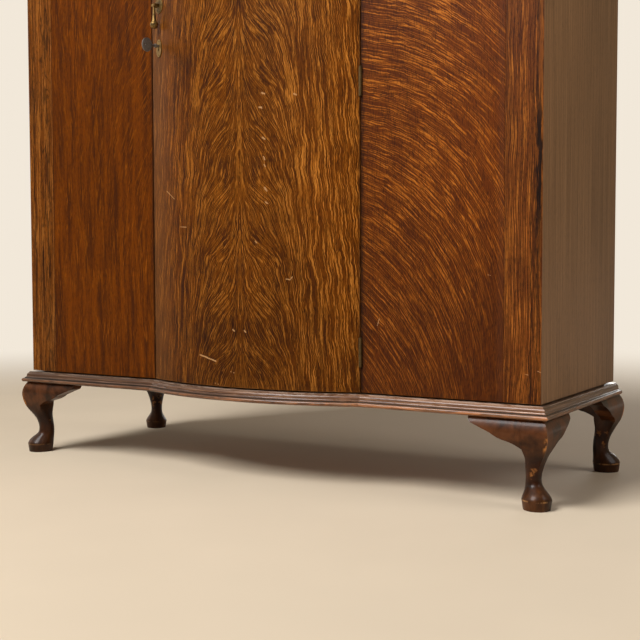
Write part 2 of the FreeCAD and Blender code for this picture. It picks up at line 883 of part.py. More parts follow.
def make_pieces():
    pieces = {}
    for corner, leg in at_corners(make_leg()).items():
        pieces[corner + "_leg"] = leg
    for corner, ears in at_corners(make_ears()).items():
        pieces[corner + "_knee_blocks"] = ears
    pieces["leg_dowels"] = Part.makeCompound(list(at_corners(make_dowel(0)).values()))
    base = make_base()
    cornice = make_cornice()
    for place in ("front", "left", "right"):
        pieces["base_" + place + "_moulding"] = base[place]
        pieces["cornice_" + place + "_moulding"] = cornice[place]
    pieces["base_back_rail"] = base["back"]
    pieces["cornice_back_rail"] = cornice["back"]
    pieces["top_panel"] = top_panel()

    recesses = at_hinges(hinge_recess())
    strike = [strike_block(), bolt_mortise()]
    right_panel = make_right_panel()
    right_post = make_right_post()
    pieces["right_side"] = make_right_side()
    pieces["left_side"] = left_of(pieces["right_side"])
    pieces["right_front_stile"] = make_right_stile()
    pieces["left_front_stile"] = left_of(pieces["right_front_stile"])
    pieces["right_front_panel"] = cut_all(right_panel, recesses)
    pieces["left_front_panel"] = cut_all(left_of(right_panel), strike)
    pieces["hanging_post"] = cut_all(right_post, recesses)
    pieces["closing_post"] = cut_all(left_of(right_post), strike)
    pieces["door_stop"] = cut_all(make_door_stop(), strike)
    pieces["bottom_board"] = make_board(base_top)
    pieces["top_board"] = make_board(ceiling_level)
    pieces["back_right_muntin"] = make_right_muntin()
    pieces["back_left_muntin"] = left_of(pieces["back_right_muntin"])
    for place, panel in make_back_panels().items():
        pieces["back_" + place + "_panel"] = panel
    for index, name in enumerate(shelf_names):
        pieces[name] = make_shelf(index)
    pieces["right_shelf_bearers"] = make_right_bearers()
    pieces["left_shelf_bearers"] = left_of(pieces["right_shelf_bearers"])

    lock_room = at_lock(lock_case_block(0), lock_height)
    key_room = at_lock(keyway(-overrun, lock_case_face + lock_wall), lock_height)
    stud_hole = rod(stud_radius + stud_clearance, V(0, -overrun, 0), BACK, 2 * door_thickness)
    stud_room = at_lock(stud_hole, handle_height)
    for name, piece in make_door().items():
        pieces[name] = cut_all(piece, recesses + [lock_room, key_room, stud_room, bolt_mortise()])
    pieces.update(make_hinges())
    pieces.update(make_lock())
    pieces.update(make_handle())
    return pieces


def main():
    os.makedirs("parts", exist_ok=True)
    for name, shape in make_pieces().items():
        shape.translated(V(0, frame_shift, 0)).exportStep("parts/" + name + ".step")


if __name__ == "__main__":
    main()
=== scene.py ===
import math
import bpy
from mathutils import Matrix, Vector
from mathutils.bvhtree import BVHTree


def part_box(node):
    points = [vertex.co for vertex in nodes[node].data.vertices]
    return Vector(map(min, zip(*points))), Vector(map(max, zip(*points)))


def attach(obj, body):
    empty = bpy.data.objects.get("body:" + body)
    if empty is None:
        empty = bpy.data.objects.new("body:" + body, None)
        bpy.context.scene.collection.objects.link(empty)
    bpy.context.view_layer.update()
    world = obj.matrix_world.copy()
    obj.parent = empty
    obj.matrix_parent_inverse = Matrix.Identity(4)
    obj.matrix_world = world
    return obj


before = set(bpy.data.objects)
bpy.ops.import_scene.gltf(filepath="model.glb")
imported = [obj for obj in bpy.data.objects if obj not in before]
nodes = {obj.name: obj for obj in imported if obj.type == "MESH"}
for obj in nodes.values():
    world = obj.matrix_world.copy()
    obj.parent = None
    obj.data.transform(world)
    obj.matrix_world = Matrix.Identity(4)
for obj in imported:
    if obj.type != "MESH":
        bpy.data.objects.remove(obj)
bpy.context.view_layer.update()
print("linen press: frame loaded,", len(nodes), "nodes")


# Small helpers for node trees. Each adds to the tree that is being built.

work = {"tree": None}


def startTree(tree):
    work["tree"] = tree
    tree.nodes.clear()


def link(source, target):
    work["tree"].links.new(source, target)


def linear(colour):
    # screen colour, 0 to 255, to the scene's own light values
    shares = [value / 255 for value in colour]
    return tuple(s / 12.92 if s <= 0.04045 else ((s + 0.055) / 1.055) ** 2.4 for s in shares) + (1.0,)


def addNode(kind, inputs=None, **settings):
    node = work["tree"].nodes.new(kind)
    for name, value in settings.items():
        setattr(node, name, value)
    for name, value in (inputs or {}).items():
        if isinstance(value, bpy.types.NodeSocket):
            link(value, node.inputs[name])
        else:
            node.inputs[name].default_value = value
    return node


def calc(operation, first, second=0.0, third=0.0, clamp=False):
    return addNode("ShaderNodeMath", {0: first, 1: second, 2: third},
                   operation=operation, use_clamp=clamp).outputs[0]


def times(first, *others):
    for other in others:
        first = calc("MULTIPLY", first, other)
    return first


def apart(first, second):
    return calc("ABSOLUTE", calc("SUBTRACT", first, second))


def swing(noise, amount, middle):
    # the middle value, moved to either side by noise
    return calc("MULTIPLY_ADD", calc("SUBTRACT", noise, 0.5), amount, middle)


def fade(value, low, high, atLow=0.0, atHigh=1.0):
    return addNode("ShaderNodeMapRange", {
        "Value": value, "From Min": low, "From Max": high, "To Min": atLow, "To Max": atHigh},
        interpolation_type="SMOOTHSTEP").outputs[0]


def fall(value, low, high):
    return fade(value, low, high, 1.0, 0.0)


def near(value, middle, inner, outer, atMiddle=1.0, away=0.0):
    return fade(apart(value, middle), inner, outer, atMiddle, away)


def vectorMath(operation, first, second=(0.0, 0.0, 0.0)):
    # a distance, a length or a dot product is one number, the rest are vectors
    out = addNode("ShaderNodeVectorMath", {0: first, 1: second}, operation=operation).outputs
    return out["Value"] if operation in ("DISTANCE", "LENGTH", "DOT_PRODUCT") else out["Vector"]


def joined(x, y, z):
    return addNode("ShaderNodeCombineXYZ", {0: x, 1: y, 2: z}).outputs[0]


def split(vector):
    return addNode("ShaderNodeSeparateXYZ", {0: vector}).outputs


def noiseOf(vector, spread=1.0, detail=2.0, rough=0.5, twist=0.0):
    # spread is how fast the noise changes: one number, or one for each axis
    if isinstance(spread, tuple):
        vector, spread = vectorMath("MULTIPLY", vector, spread), 1.0
    return addNode("ShaderNodeTexNoise", {
        "Vector": vector, "Scale": spread, "Detail": detail, "Roughness": rough,
        "Distortion": twist}).outputs[0]


def mixColour(share, first, second, blend="MIX"):
    # a colour written as three numbers is a screen colour
    first, second = (linear(c) if isinstance(c, tuple) else c for c in (first, second))
    return addNode("ShaderNodeMix", {0: share, 6: first, 7: second},
                   data_type="RGBA", blend_type=blend).outputs[2]


def shade(colour, share, amount=1.0):
    # darkens or lightens a colour by a share that changes over the surface
    tone = calc("MULTIPLY_ADD", share, amount, 1.0)
    return mixColour(1.0, colour, joined(tone, tone, tone), "MULTIPLY")


def colourRamp(value, stops):
    node = addNode("ShaderNodeValToRGB", {0: value})
    elements = node.color_ramp.elements
    while len(elements) < len(stops):
        elements.new(0.5)
    for element, (place, colour) in zip(elements, stops):
        element.position = place
        element.color = linear(colour)
    return node.outputs[0]


def newGroup(name, inputs, outputs):
    # an input without a value is a vector, the rest are numbers
    tree = bpy.data.node_groups.new(name, "ShaderNodeTree")
    startTree(tree)
    for socketName, value in inputs.items():
        kind = "NodeSocketVector" if value is None else "NodeSocketFloat"
        socket = tree.interface.new_socket(socketName, in_out="INPUT", socket_type=kind)
        if value is not None:
            socket.default_value = value
    for socketName in outputs:
        tree.interface.new_socket(socketName, in_out="OUTPUT", socket_type="NodeSocketFloat")
    return tree, addNode("NodeGroupInput").outputs


def useGroup(group, inputs):
    return addNode("ShaderNodeGroup", inputs, node_tree=group).outputs


# Shader groups that several finishes share. Place is in millimetres, with the grain running along z.

rayLine = {
    "noise": (1.0, 1.0, 0.45, 0.2), "darkBeside": 1.5, "darkShare": -0.6, "levelShare": 1.2,
    "gapNoise": ((0.8, 0.8, 3.0), 1.0), "gapEdge": (0.42, 0.58),
}


def makeLeanLayer():
    # one layer of ray figure drawn at a fixed lean, strongest where the wanted lean is the same
    v = rayLine
    tree, given = newGroup("oakLeanLayer", {
        "Place": None, "Lean": 0.0, "Layer": 0.0, "Step": 14.0, "Spacing": 9.0, "Length": 150.0,
        "Thin": 0.06, "Broken": 0.5, "Seed": 0.0, "Sum": 0.0, "Power": 0.0}, ["Sum", "Power"])
    turned = addNode("ShaderNodeVectorRotate", {
        "Vector": given["Place"], "Angle": calc("RADIANS", given["Layer"])},
        rotation_type="Y_AXIS").outputs[0]
    stretch = joined(calc("DIVIDE", 1.0, given["Spacing"]), 0.0, calc("DIVIDE", 1.0, given["Length"]))
    seeded = vectorMath("ADD", vectorMath("MULTIPLY", turned, stretch),
                        joined(0.0, given["Seed"], given["Seed"]))
    # a thin pale line follows each middle level of the noise, with a darker one beside it
    level = calc("SUBTRACT", noiseOf(seeded, *v["noise"]), 0.5)
    pale = near(level, 0.0, 0.0, given["Thin"])
    dark = near(level, times(given["Thin"], v["darkBeside"]), 0.0, given["Thin"])
    gaps = fall(noiseOf(seeded, *v["gapNoise"]), *v["gapEdge"])
    kept = calc("SUBTRACT", 1.0, times(gaps, given["Broken"]))
    streak = times(calc("MULTIPLY_ADD", dark, v["darkShare"], pale), kept)
    streak = calc("MULTIPLY_ADD", level, v["levelShare"], streak)
    miss = apart(given["Lean"], given["Layer"])
    weight = fall(calc("DIVIDE", miss, given["Step"]), 0.0, 1.0)
    addNode("NodeGroupOutput", {
        "Sum": calc("ADD", given["Sum"], times(weight, streak)),
        "Power": calc("MULTIPLY_ADD", weight, weight, given["Power"])})
    return tree


grainNoise = {
    "poreNoise": (1.0, 1.0), "poreEdge": (0.5, 0.66), "bands": (1.0, 2.0, 0.55, 0.3),
    "blotch": ((0.008, 0.008, 0.004),), "mottle": ((0.42, 0.42, 0.16), 2.0, 0.6),
}


def makeOakGrain():
    # open pores, growth bands, slow blotches and fine mottle of plain oak
    v = grainNoise
    tree, given = newGroup("oakGrain", {
        "Place": None, "Pore Spacing": 2.2, "Pore Length": 11.0, "Band Width": 4.0,
        "Band Length": 420.0, "Seed": 0.0}, ["Pores", "Bands", "Blotch", "Mottle"])
    seeded = vectorMath("ADD", given["Place"], joined(given["Seed"], 0.0, given["Seed"]))

    def stretched(wide, long):
        across, along = (calc("DIVIDE", 1.0, given[name]) for name in (wide, long))
        return vectorMath("MULTIPLY", seeded, joined(across, across, along))

    pores = noiseOf(stretched("Pore Spacing", "Pore Length"), *v["poreNoise"])
    addNode("NodeGroupOutput", {
        "Pores": fade(pores, *v["poreEdge"]),
        "Bands": noiseOf(stretched("Band Width", "Band Length"), *v["bands"]),
        "Blotch": noiseOf(seeded, *v["blotch"]),
        "Mottle": noiseOf(seeded, *v["mottle"])})
    return tree


scratchLine = {"noise": (0.35, 2.0, 0.6), "thickness": (0.3, 0.6, 0.25, 1.2), "edge": (0.35, 1.0)}


def makeScratchMark():
    # one scratch between two places, broken up along its run
    v = scratchLine
    tree, given = newGroup("scratchMark", {
        "Place": None, "Start": None, "End": None, "Width": 1.0, "Mask": 0.0}, ["Mask"])
    run = vectorMath("SUBTRACT", given["End"], given["Start"])
    offset = vectorMath("SUBTRACT", given["Place"], given["Start"])
    share = calc("DIVIDE", vectorMath("DOT_PRODUCT", offset, run),
                 vectorMath("DOT_PRODUCT", run, run), clamp=True)
    nearest = vectorMath("MULTIPLY", run, joined(share, share, share))
    gap = vectorMath("DISTANCE", offset, nearest)
    rough = noiseOf(given["Place"], *v["noise"])
    thick = times(given["Width"], fade(rough, *v["thickness"]))
    line = fall(calc("DIVIDE", gap, thick), *v["edge"])
    addNode("NodeGroupOutput", {"Mask": calc("MAXIMUM", line, given["Mask"])})
    return tree


speckDot = {"patchEdge": (0.7, 1.0), "dotEdge": (0.45, 1.0), "leftOut": 0.45}


def makeSpeckPatch():
    # pale specks inside a small oval patch
    v = speckDot
    tree, given = newGroup("speckPatch", {
        "Place": None, "Centre": None, "Half Width": 10.0, "Half Height": 10.0, "Cell": 9.0,
        "Size": 1.4, "Mask": 0.0}, ["Mask"])
    parts = split(vectorMath("SUBTRACT", given["Place"], given["Centre"]))
    wide = calc("DIVIDE", parts[0], given["Half Width"])
    high = calc("DIVIDE", parts[2], given["Half Height"])
    far = calc("ADD", times(wide, wide), times(high, high))
    inside = fall(far, *v["patchEdge"])
    cell = vectorMath("DIVIDE", joined(parts[0], 0.0, parts[2]),
                      joined(given["Cell"], 1.0, given["Cell"]))
    spots = addNode("ShaderNodeTexVoronoi", {"Vector": cell, "Scale": 1.0, "Randomness": 1.0}).outputs
    size = calc("DIVIDE", given["Size"], given["Cell"])
    dot = fall(calc("DIVIDE", spots["Distance"], size), *v["dotEdge"])
    chosen = addNode("ShaderNodeSeparateColor", {0: spots["Color"]}).outputs[0]
    mask = times(dot, calc("GREATER_THAN", chosen, v["leftOut"]), inside)
    addNode("NodeGroupOutput", {"Mask": calc("MAXIMUM", mask, given["Mask"])})
    return tree


edgeWear = {"noise": (0.05, 3.0, 0.6), "unevenness": (0.42, 0.68, 0.15, 1.5), "rubEdge": (0.2, 1.0),
            "grimeReach": (1.0, 26.0), "thin": (0.0, 5000.0, 0.0)}


def makeRubbedEdge():
    # how near a place is to a board's outer edges, worn unevenly; Thin keeps the board's faces out of it
    v = edgeWear
    tree, given = newGroup("rubbedEdge", {
        "Place": None, "Low": None, "High": None, "Thin": None, "Reach": 2.0}, ["Rub", "Grime"])
    fromLow = vectorMath("SUBTRACT", given["Place"], given["Low"])
    fromHigh = vectorMath("SUBTRACT", given["High"], given["Place"])
    nearest = vectorMath("ADD", vectorMath("MINIMUM", fromLow, fromHigh), given["Thin"])
    parts = split(nearest)
    gap = calc("MINIMUM", calc("MINIMUM", parts[0], parts[1]), parts[2])
    uneven = noiseOf(given["Place"], *v["noise"])
    reach = times(given["Reach"], fade(uneven, *v["unevenness"]))
    addNode("NodeGroupOutput", {
        "Rub": fall(calc("DIVIDE", gap, reach), *v["rubEdge"]),
        "Grime": fall(gap, *v["grimeReach"])})
    return tree


leanLayer = makeLeanLayer()
oakGrain = makeOakGrain()
scratchMark = makeScratchMark()
speckPatch = makeSpeckPatch()
rubbedEdge = makeRubbedEdge()
print("linen press: shader groups ready")


# Finishes. Their places are in millimetres.

mm = 1000.0
finishDefaults = {"bump": 0.35, "bumpDepth": 0.0004, "metal": 0.0, "gloss": 0.3, "coat": 0.0,
                  "coatRoughness": 0.25, "bandLength": 420.0, "rough": 0.47, "roughGain": -0.08,
                  "relief": 0.2, "poreDepth": -0.6}


def startFinish(name):
    material = bpy.data.materials.new(name)
    material.use_nodes = True
    startTree(material.node_tree)
    metres = addNode("ShaderNodeTexCoord").outputs["Object"]
    place = vectorMath("MULTIPLY", metres, (mm, mm, mm))
    return material, place, split(place)


def endFinish(colour, roughness, height, values):
    v = {**finishDefaults, **values}
    bump = addNode("ShaderNodeBump", {
        "Strength": v["bump"], "Distance": v["bumpDepth"], "Height": height})
    shader = addNode("ShaderNodeBsdfPrincipled", {
        "Base Color": colour, "Roughness": roughness, "Metallic": v["metal"],
        "Specular IOR Level": v["gloss"], "Coat Weight": v["coat"],
        "Coat Roughness": v["coatRoughness"], "Normal": bump.outputs[0]})
    output = addNode("ShaderNodeOutputMaterial", {"Surface": shader.outputs[0]})
    return shader, output


def endOak(colour, grain, roughBy, raised, values):
    # roughness follows one pattern and height another, and the pores are sunk
    v = {**finishDefaults, **values}
    rough = calc("MULTIPLY_ADD", roughBy, v["roughGain"], v["rough"])
    height = calc("MULTIPLY_ADD", grain["Pores"], v["poreDepth"], times(raised, v["relief"]))
    endFinish(colour, rough, height, v)


def turnGrain(parts, along):
    # the grain groups run along z, so a board cut along x or y swaps its places
    order = {"x": (1, 2, 0), "y": (0, 2, 1), "z": (0, 1, 2)}[along]
    return joined(*[parts[index] for index in order])


def grainOf(place, values):
    v = {**finishDefaults, **values}
    return useGroup(oakGrain, {
        "Place": place, "Seed": v.get("grainSeed", v["seed"]), "Band Width": v["bandWidth"],
        "Band Length": v["bandLength"]})


def shadeGrain(colour, grain, amounts):
    # pores only darken, the other noises go to either side
    for name, amount in amounts.items():
        middle = 0.0 if name == "Pores" else 0.5
        colour = shade(colour, calc("SUBTRACT", grain[name], middle), amount)
    return colour


def shadeAlong(colour, parts, steps):
    # each step: an axis, where it runs from and to, and how much lighter or darker it is at either end
    for axis, low, high, atLow, atHigh in steps:
        colour = shade(colour, fade(parts["xyz".index(axis)], low, high, atLow, atHigh))
    return colour


def figureOf(place, lean, v):
    # ray figure from several fixed leans, kept at an even strength where two of them meet
    seedStep, leastPower = 7.3, 0.08
    total, power = 0.0, 0.0
    for number, layer in enumerate(v["leans"]):
        out = useGroup(leanLayer, {
            "Place": place, "Lean": lean, "Layer": float(layer), "Step": v["leanStep"],
            "Spacing": v["spacing"], "Length": v["length"], "Thin": v["thin"],
            "Broken": v["broken"], "Seed": v["seed"] + seedStep * number,
            "Sum": total, "Power": power})
        total, power = out["Sum"], out["Power"]
    even = calc("SQRT", calc("MAXIMUM", power, leastPower))
    return calc("DIVIDE", total, even)


figureSteps = {"crown": (0.5, 1.2), "pale": (0.05, 0.8, 0.0, 0.9), "dark": (-0.6, -0.05, 0.6, 0.0)}


def paintFigure(patches, figure, v):
    # on a patchy ground, pale lines from light to crown and the dark ones beside them
    ground = colourRamp(patches, v["ground"])
    crown, pale, dark = (fade(figure, *step) for step in figureSteps.values())
    lines = mixColour(crown, v["light"], v["crown"])
    colour = mixColour(pale, ground, lines)
    return mixColour(dark, colour, v["dark"])


def rubEdges(colour, place, v):
    # dirt along the board's outer edges, and on some boards wood rubbed pale
    low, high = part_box(v["board"])
    rub = useGroup(rubbedEdge, {
        "Place": place, "Low": tuple(part * mm for part in low),
        "High": tuple(part * mm for part in high), "Thin": edgeWear["thin"], "Reach": v["rubReach"]})
    colour = shade(colour, rub["Grime"], v["grime"])
    if "rubbed" in v:
        colour = mixColour(times(rub["Rub"], v["rubShare"]), colour, v["rubbed"])
    return colour


def markWear(colour, parts, v):
    # scratches and specks, each added to the mask of those before it
    flat = joined(parts[0], 0.0, parts[2])
    mask = 0.0
    for startX, startZ, endX, endZ, width in v["scratches"]:
        mask = useGroup(scratchMark, {
            "Place": flat, "Start": (startX, 0, startZ), "End": (endX, 0, endZ), "Width": width,
            "Mask": mask})["Mask"]
    for centreX, centreZ, halfWide, halfHigh in v.get("specks", ()):
        mask = useGroup(speckPatch, {
            "Place": flat, "Centre": (centreX, 0, centreZ), "Half Width": halfWide,
            "Half Height": halfHigh, "Mask": mask})["Mask"]
    return mixColour(times(mask, v["wornShare"]), colour, v["worn"])


def dress(finish, *names):
    for name in names:
        for holder in nodes[name].material_slots:
            holder.material = finish


doorVeneer = {
    "board": "door_front_skin",
    "ground": ((0.36, (69, 33, 8)), (0.5, (88, 44, 4)), (0.64, (105, 55, 5))),
    "dark": (42, 17, 0), "light": (141, 84, 22), "crown": (170, 108, 41),
    "leftShadeTint": (226, 216, 178), "leftReach": (-200.0, 20.0, 1.0, 0.0),
    "sheen": (112, 70, 32), "sheenReach": (-232.0, -140.0, 0.42, 0.0),
    "centre": 8.0, "fan": 46.0, "fanLean": 44.0, "outerLean": 7.0, "outerReach": (90.0, 190.0),
    "leans": (-6, 4, 14, 24, 34, 44, 54, 64), "leanStep": 10.0, "spacing": 3.4, "length": 140.0,
    "thin": 0.08, "broken": 0.4, "seed": 3.0, "grainSeed": 11.0, "bandWidth": 9.0,
    "wander": (0.012, 0.0, 0.02), "wanderLean": 12.0, "wanderMove": 6.4,
    "ripple": (0.008, 4.0, 0.015), "rippleMove": 12.8,
    "wriggle": ((0.02, 0.0, 0.055), 2.0, 0.6), "wriggleMove": 7.0,
    "feather": 103.0, "featherLift": 0.28, "slow": (0.0, 2.0, 0.006), "slowLift": (0.8, 0.45),
    "rightGain": (40.0, 160.0, 1.0, 1.25), "leftGain": (-110.0, -20.0, 1.2, 1.0),
    "patches": ((0.045, 0.0, 0.016), 3.0, 0.55), "patchGain": (0.0, 120.0, 1.0, 0.4),
    "grain": {"Blotch": 0.6, "Bands": 0.3, "Mottle": 0.8, "Pores": -0.42},
    "shading": (("x", 40.0, 215.0, 0.0, 0.36), ("z", 190.0, 560.0, -0.28, 0.0)),
    "edge": (233.5, 236.5, 0.0, -0.6),
    "rubReach": 2.2, "grime": -0.1, "rubbed": (128, 80, 40), "rubShare": 0.4,
    "worn": (196, 150, 100), "wornShare": 0.75, "gloss": 0.07, "coat": 0.02, "bump": 0.3,
    "scratches": ((-92, 235, -51, 225, 2.0), (-189, 552, -165, 536, 0.9), (-146, 481, -128, 480, 0.9),
                  (105, 382, 112, 381, 1.6), (112, 381, 116, 386, 1.4), (56, 722, 63, 720, 2.2),
                  (51, 697, 57, 695, 2.4), (120, 717, 125, 715, 2.0), (58, 641, 63, 638, 2.2),
                  (60, 606, 63, 600, 1.8), (61, 592, 64, 588, 1.6), (62, 549, 66, 544, 2.4),
                  (63, 524, 68, 520, 1.8), (42, 451, 44, 449, 1.8), (-9, 286, -6, 284, 2.2),
                  (17, 285, 20, 283, 2.2)),
    "specks": ((-12, 210, 40, 7), (-50, 186, 30, 8)),
}


def makeDoorOak():
    v = doorVeneer
    material, place, parts = startFinish("doorOak")
    x, y, z = parts
    side = apart(x, v["centre"])
    wander = noiseOf(place, v["wander"])
    ripple = noiseOf(joined(side, 1.0, z), v["ripple"], 1.0)
    wriggle = noiseOf(place, *v["wriggle"])
    moved = swing(ripple, v["rippleMove"], side)
    moved = swing(wander, v["wanderMove"], moved)
    moved = swing(wriggle, v["wriggleMove"], moved)
    figurePlace = joined(moved, y, z)
    # the feathers open downwards from the middle line and come in waves up the door
    reach = calc("DIVIDE", side, v["fan"])
    bell = calc("EXPONENT", calc("MULTIPLY_ADD", times(reach, reach), -0.5, 0.5))
    waves = calc("SINE", times(z, 2 * math.pi / v["feather"]))
    slow = noiseOf(joined(0.0, 1.0, z), v["slow"], 1.0)
    lift = calc("MULTIPLY_ADD", waves, v["featherLift"], calc("MULTIPLY_ADD", slow, *v["slowLift"]))
    lean = times(reach, bell, v["fanLean"], lift)
    lean = calc("ADD", lean, fade(side, *v["outerReach"], 0.0, v["outerLean"]))
    lean = swing(wander, v["wanderLean"], lean)
    figure = times(figureOf(figurePlace, lean, v), fade(x, *v["rightGain"]), fade(x, *v["leftGain"]))
    # the ground is calmer towards the right
    patches = noiseOf(figurePlace, *v["patches"])
    patches = swing(patches, fade(x, *v["patchGain"]), 0.5)
    colour = paintFigure(patches, figure, v)
    grain = grainOf(place, v)
    colour = shadeGrain(colour, grain, v["grain"])
    # painted light and shade: lighter towards the right, darker towards the foot, the left part darker
    # and warmer, a painted sheen along the left margin, and a painted shadow in the gaps at both edges
    colour = shadeAlong(colour, parts, v["shading"])
    colour = mixColour(fade(x, *v["leftReach"]), colour, v["leftShadeTint"], "MULTIPLY")
    colour = mixColour(fade(x, *v["sheenReach"]), colour, v["sheen"])
    colour = shade(colour, near(x, 0.0, *v["edge"]))
    colour = rubEdges(colour, place, v)
    colour = markWear(colour, parts, v)
    endOak(colour, grain, figure, figure, v)
    return material


rightVeneer = {
    "board": "right_front_panel",
    "ground": ((0.36, (72, 30, 2)), (0.5, (77, 33, 1)), (0.64, (83, 36, 1))),
    "dark": (42, 14, 0), "light": (137, 75, 16), "crown": (166, 98, 33),
    "joint": (92, 52, 30), "jointReach": (496.0, 508.0, 0.0, 0.25),
    "leans": (-4, 6, 16, 26, 36, 46, 56, 66, 76), "leanStep": 10.0, "spacing": 3.2, "length": 125.0,
    "thin": 0.08, "broken": 0.42, "seed": 23.0, "grainSeed": 37.0, "bandWidth": 14.0,
    "left": 286.0, "wide": 200.0, "head": 660.0, "high": 420.0, "leastDown": -0.15,
    "headLean": 71.0, "leanAcross": -30.0, "leanDown": -35.0, "leanLimits": (-4.0, 76.0),
    "wander": (0.011, 0.0, 0.011), "wanderLean": 12.0,
    "wriggle": ((0.05, 0.0, 0.05), 2.0, 0.6), "wriggleMove": 6.0,
    "blotchGain": (0.25, 0.7, 0.75, 1.1), "footGain": (180.0, 330.0, 0.75, 1.0),
    "quietSide": (380.0, 500.0), "quietFoot": (300.0, 520.0, 1.0, 0.45), "quiet": -0.45,
    "patches": ((0.03, 0.0, 0.014), 3.0, 0.55),
    "grain": {"Bands": 0.15, "Blotch": 0.2, "Mottle": 0.75, "Pores": -0.4},
    "upper": (260.0, 660.0), "upperTone": 0.3, "upperRight": (300.0, 460.0, 0.0, 0.22),
    "shading": (("x", 239.5, 248.0, -0.6, 0.0),),
    "rubReach": 1.6, "grime": -0.12, "worn": (190, 145, 100), "wornShare": 0.75,
    "gloss": 0.12, "coat": 0.03, "bump": 0.3,
    "scratches": ((272, 300, 276, 312, 0.8), (484, 392, 489, 391, 0.5)),
}


def makeRightOak():
    v = rightVeneer
    material, place, parts = startFinish("rightPanelOak")
    x, y, z = parts
    # the lines sweep over from nearly level at the head to nearly upright at the foot
    across = calc("DIVIDE", calc("SUBTRACT", x, v["left"]), v["wide"])
    down = calc("DIVIDE", calc("SUBTRACT", v["head"], z), v["high"])
    down = calc("MAXIMUM", down, v["leastDown"])
    lean = calc("MULTIPLY_ADD", across, v["leanAcross"], v["headLean"])
    lean = calc("MULTIPLY_ADD", down, v["leanDown"], lean)
    lean = swing(noiseOf(place, v["wander"]), v["wanderLean"], lean)
    least, most = v["leanLimits"]
    lean = calc("MAXIMUM", calc("MINIMUM", lean, most), least)
    moved = swing(noiseOf(place, *v["wriggle"]), v["wriggleMove"], z)
    figure = figureOf(joined(x, y, moved), lean, v)
    grain = grainOf(place, v)
    quiet = times(fade(x, *v["quietSide"]), fade(z, *v["quietFoot"]))
    figure = times(figure, fade(grain["Blotch"], *v["blotchGain"]),
                   calc("MULTIPLY_ADD", quiet, v["quiet"], 1.0),
                   fade(z, *v["footGain"]))
    colour = paintFigure(noiseOf(place, *v["patches"]), figure, v)
    colour = shadeGrain(colour, grain, v["grain"])
    # painted light: lighter towards the head, and more so towards the upper right
    upper = fade(z, *v["upper"])
    colour = shade(colour, upper, v["upperTone"])
    colour = shade(colour, times(upper, fade(x, *v["upperRight"])))
    # painted shadow beside the door gap
    colour = shadeAlong(colour, parts, v["shading"])
    colour = mixColour(fade(x, *v["jointReach"]), colour, v["joint"])
    colour = rubEdges(colour, place, v)
    colour = markWear(colour, parts, v)
    endOak(colour, grain, figure, figure, v)
    return material


leftVeneer = {
    "board": "left_front_panel",
    "ground": ((0.36, (66, 29, 2)), (0.5, (86, 39, 0)), (0.64, (102, 48, 0))),
    "dark": (46, 17, 0), "light": (115, 59, 4), "crown": (140, 77, 14),
    "leans": (-4, 10, 24, 38), "leanStep": 14.0, "spacing": 5.0, "length": 100.0, "thin": 0.08,
    "broken": 0.6, "strength": 0.65, "seed": 53.0, "grainSeed": 61.0, "bandWidth": 12.0,
    "upper": (380.0, 720.0), "inner": (-420.0, -270.0), "innerLean": 32.0, "leastLean": -4.0,
    "wander": (0.009, 0.0, 0.009), "wanderLean": 28.0, "patches": ((0.075, 0.0, 0.005), 3.0, 0.55),
    "grain": {"Bands": 0.5, "Blotch": 0.4, "Mottle": 0.7, "Pores": -0.25},
    "shading": (("x", -243.0, -239.5, 0.0, -0.6), ("x", -513.0, -510.0, -0.6, 0.0)),
    "joint": -352.0, "jointLine": (0.2, 1.2, -0.3, 0.0),
    "rubReach": 1.6, "grime": -0.12, "gloss": 0.08, "bump": 0.3,
}


def makeLeftOak():
    v = leftVeneer
    material, place, parts = startFinish("leftPanelOak")
    x, y, z = parts
    lean = times(fade(z, *v["upper"]), fade(x, *v["inner"]), v["innerLean"])
    lean = swing(noiseOf(place, v["wander"]), v["wanderLean"], lean)
    lean = calc("MAXIMUM", lean, v["leastLean"])
    mirrored = joined(times(x, -1.0), y, z)
    figure = times(figureOf(mirrored, lean, v), v["strength"])
    colour = paintFigure(noiseOf(place, *v["patches"]), figure, v)
    grain = grainOf(place, v)
    colour = shadeGrain(colour, grain, v["grain"])
    # painted shadow beside the door gap, and a dark line at the joint with the stile
    colour = shadeAlong(colour, parts, v["shading"])
    colour = shade(colour, near(x, v["joint"], *v["jointLine"]))
    colour = rubEdges(colour, place, v)
    endOak(colour, grain, figure, figure, v)
    return material


# The two front stiles: straight fine lines, with dark open streaks. A streak has its middle, half width,
# foot, head and strength; a chain its middle, reach, the width and length of its marks and its strength.
stileOaks = {
    "leftStileOak": {
        "board": "left_front_stile",
        "ground": ((0.34, (66, 30, 4)), (0.5, (91, 45, 4)), (0.66, (110, 58, 9))),
        "dark": (32, 13, 0), "light": (130, 76, 24), "crown": (152, 96, 40),
        "spacing": 2.7, "length": 240.0, "seed": 5.0, "sway": 14.0, "gloss": 0.08,
        "streaks": ((-566.0, 3.4, 260.0, 900.0, 0.55), (-548.0, 2.0, 300.0, 700.0, 0.35),
                    (-530.0, 1.6, 177.0, 1292.0, 0.45)),
        "chain": (-534.0, 20.0, 17.0, 105.0, 0.58), "warmEdge": (-500.0, -490.0)},
    "rightStileOak": {
        "board": "right_front_stile",
        "ground": ((0.34, (75, 32, 4)), (0.5, (84, 38, 4)), (0.66, (93, 44, 5))),
        "dark": (34, 11, 0), "light": (142, 80, 24), "crown": (180, 110, 40),
        "spacing": 2.1, "length": 220.0, "seed": 71.0, "sway": 16.0, "gloss": 0.14,
        "streaks": ((574.0, 7.0, 470.0, 670.0, 0.9), (570.0, 2.6, 200.0, 1290.0, 0.45),
                    (560.0, 1.8, 180.0, 560.0, 0.6), (580.0, 1.6, 660.0, 1290.0, 0.7)),
        "chain": (569.0, 12.0, 9.0, 90.0, 0.5), "warmEdge": (566.0, 574.0),
        "scratches": ((552, 227, 557, 226, 0.9), (574, 233, 580, 231, 1.1))},
}
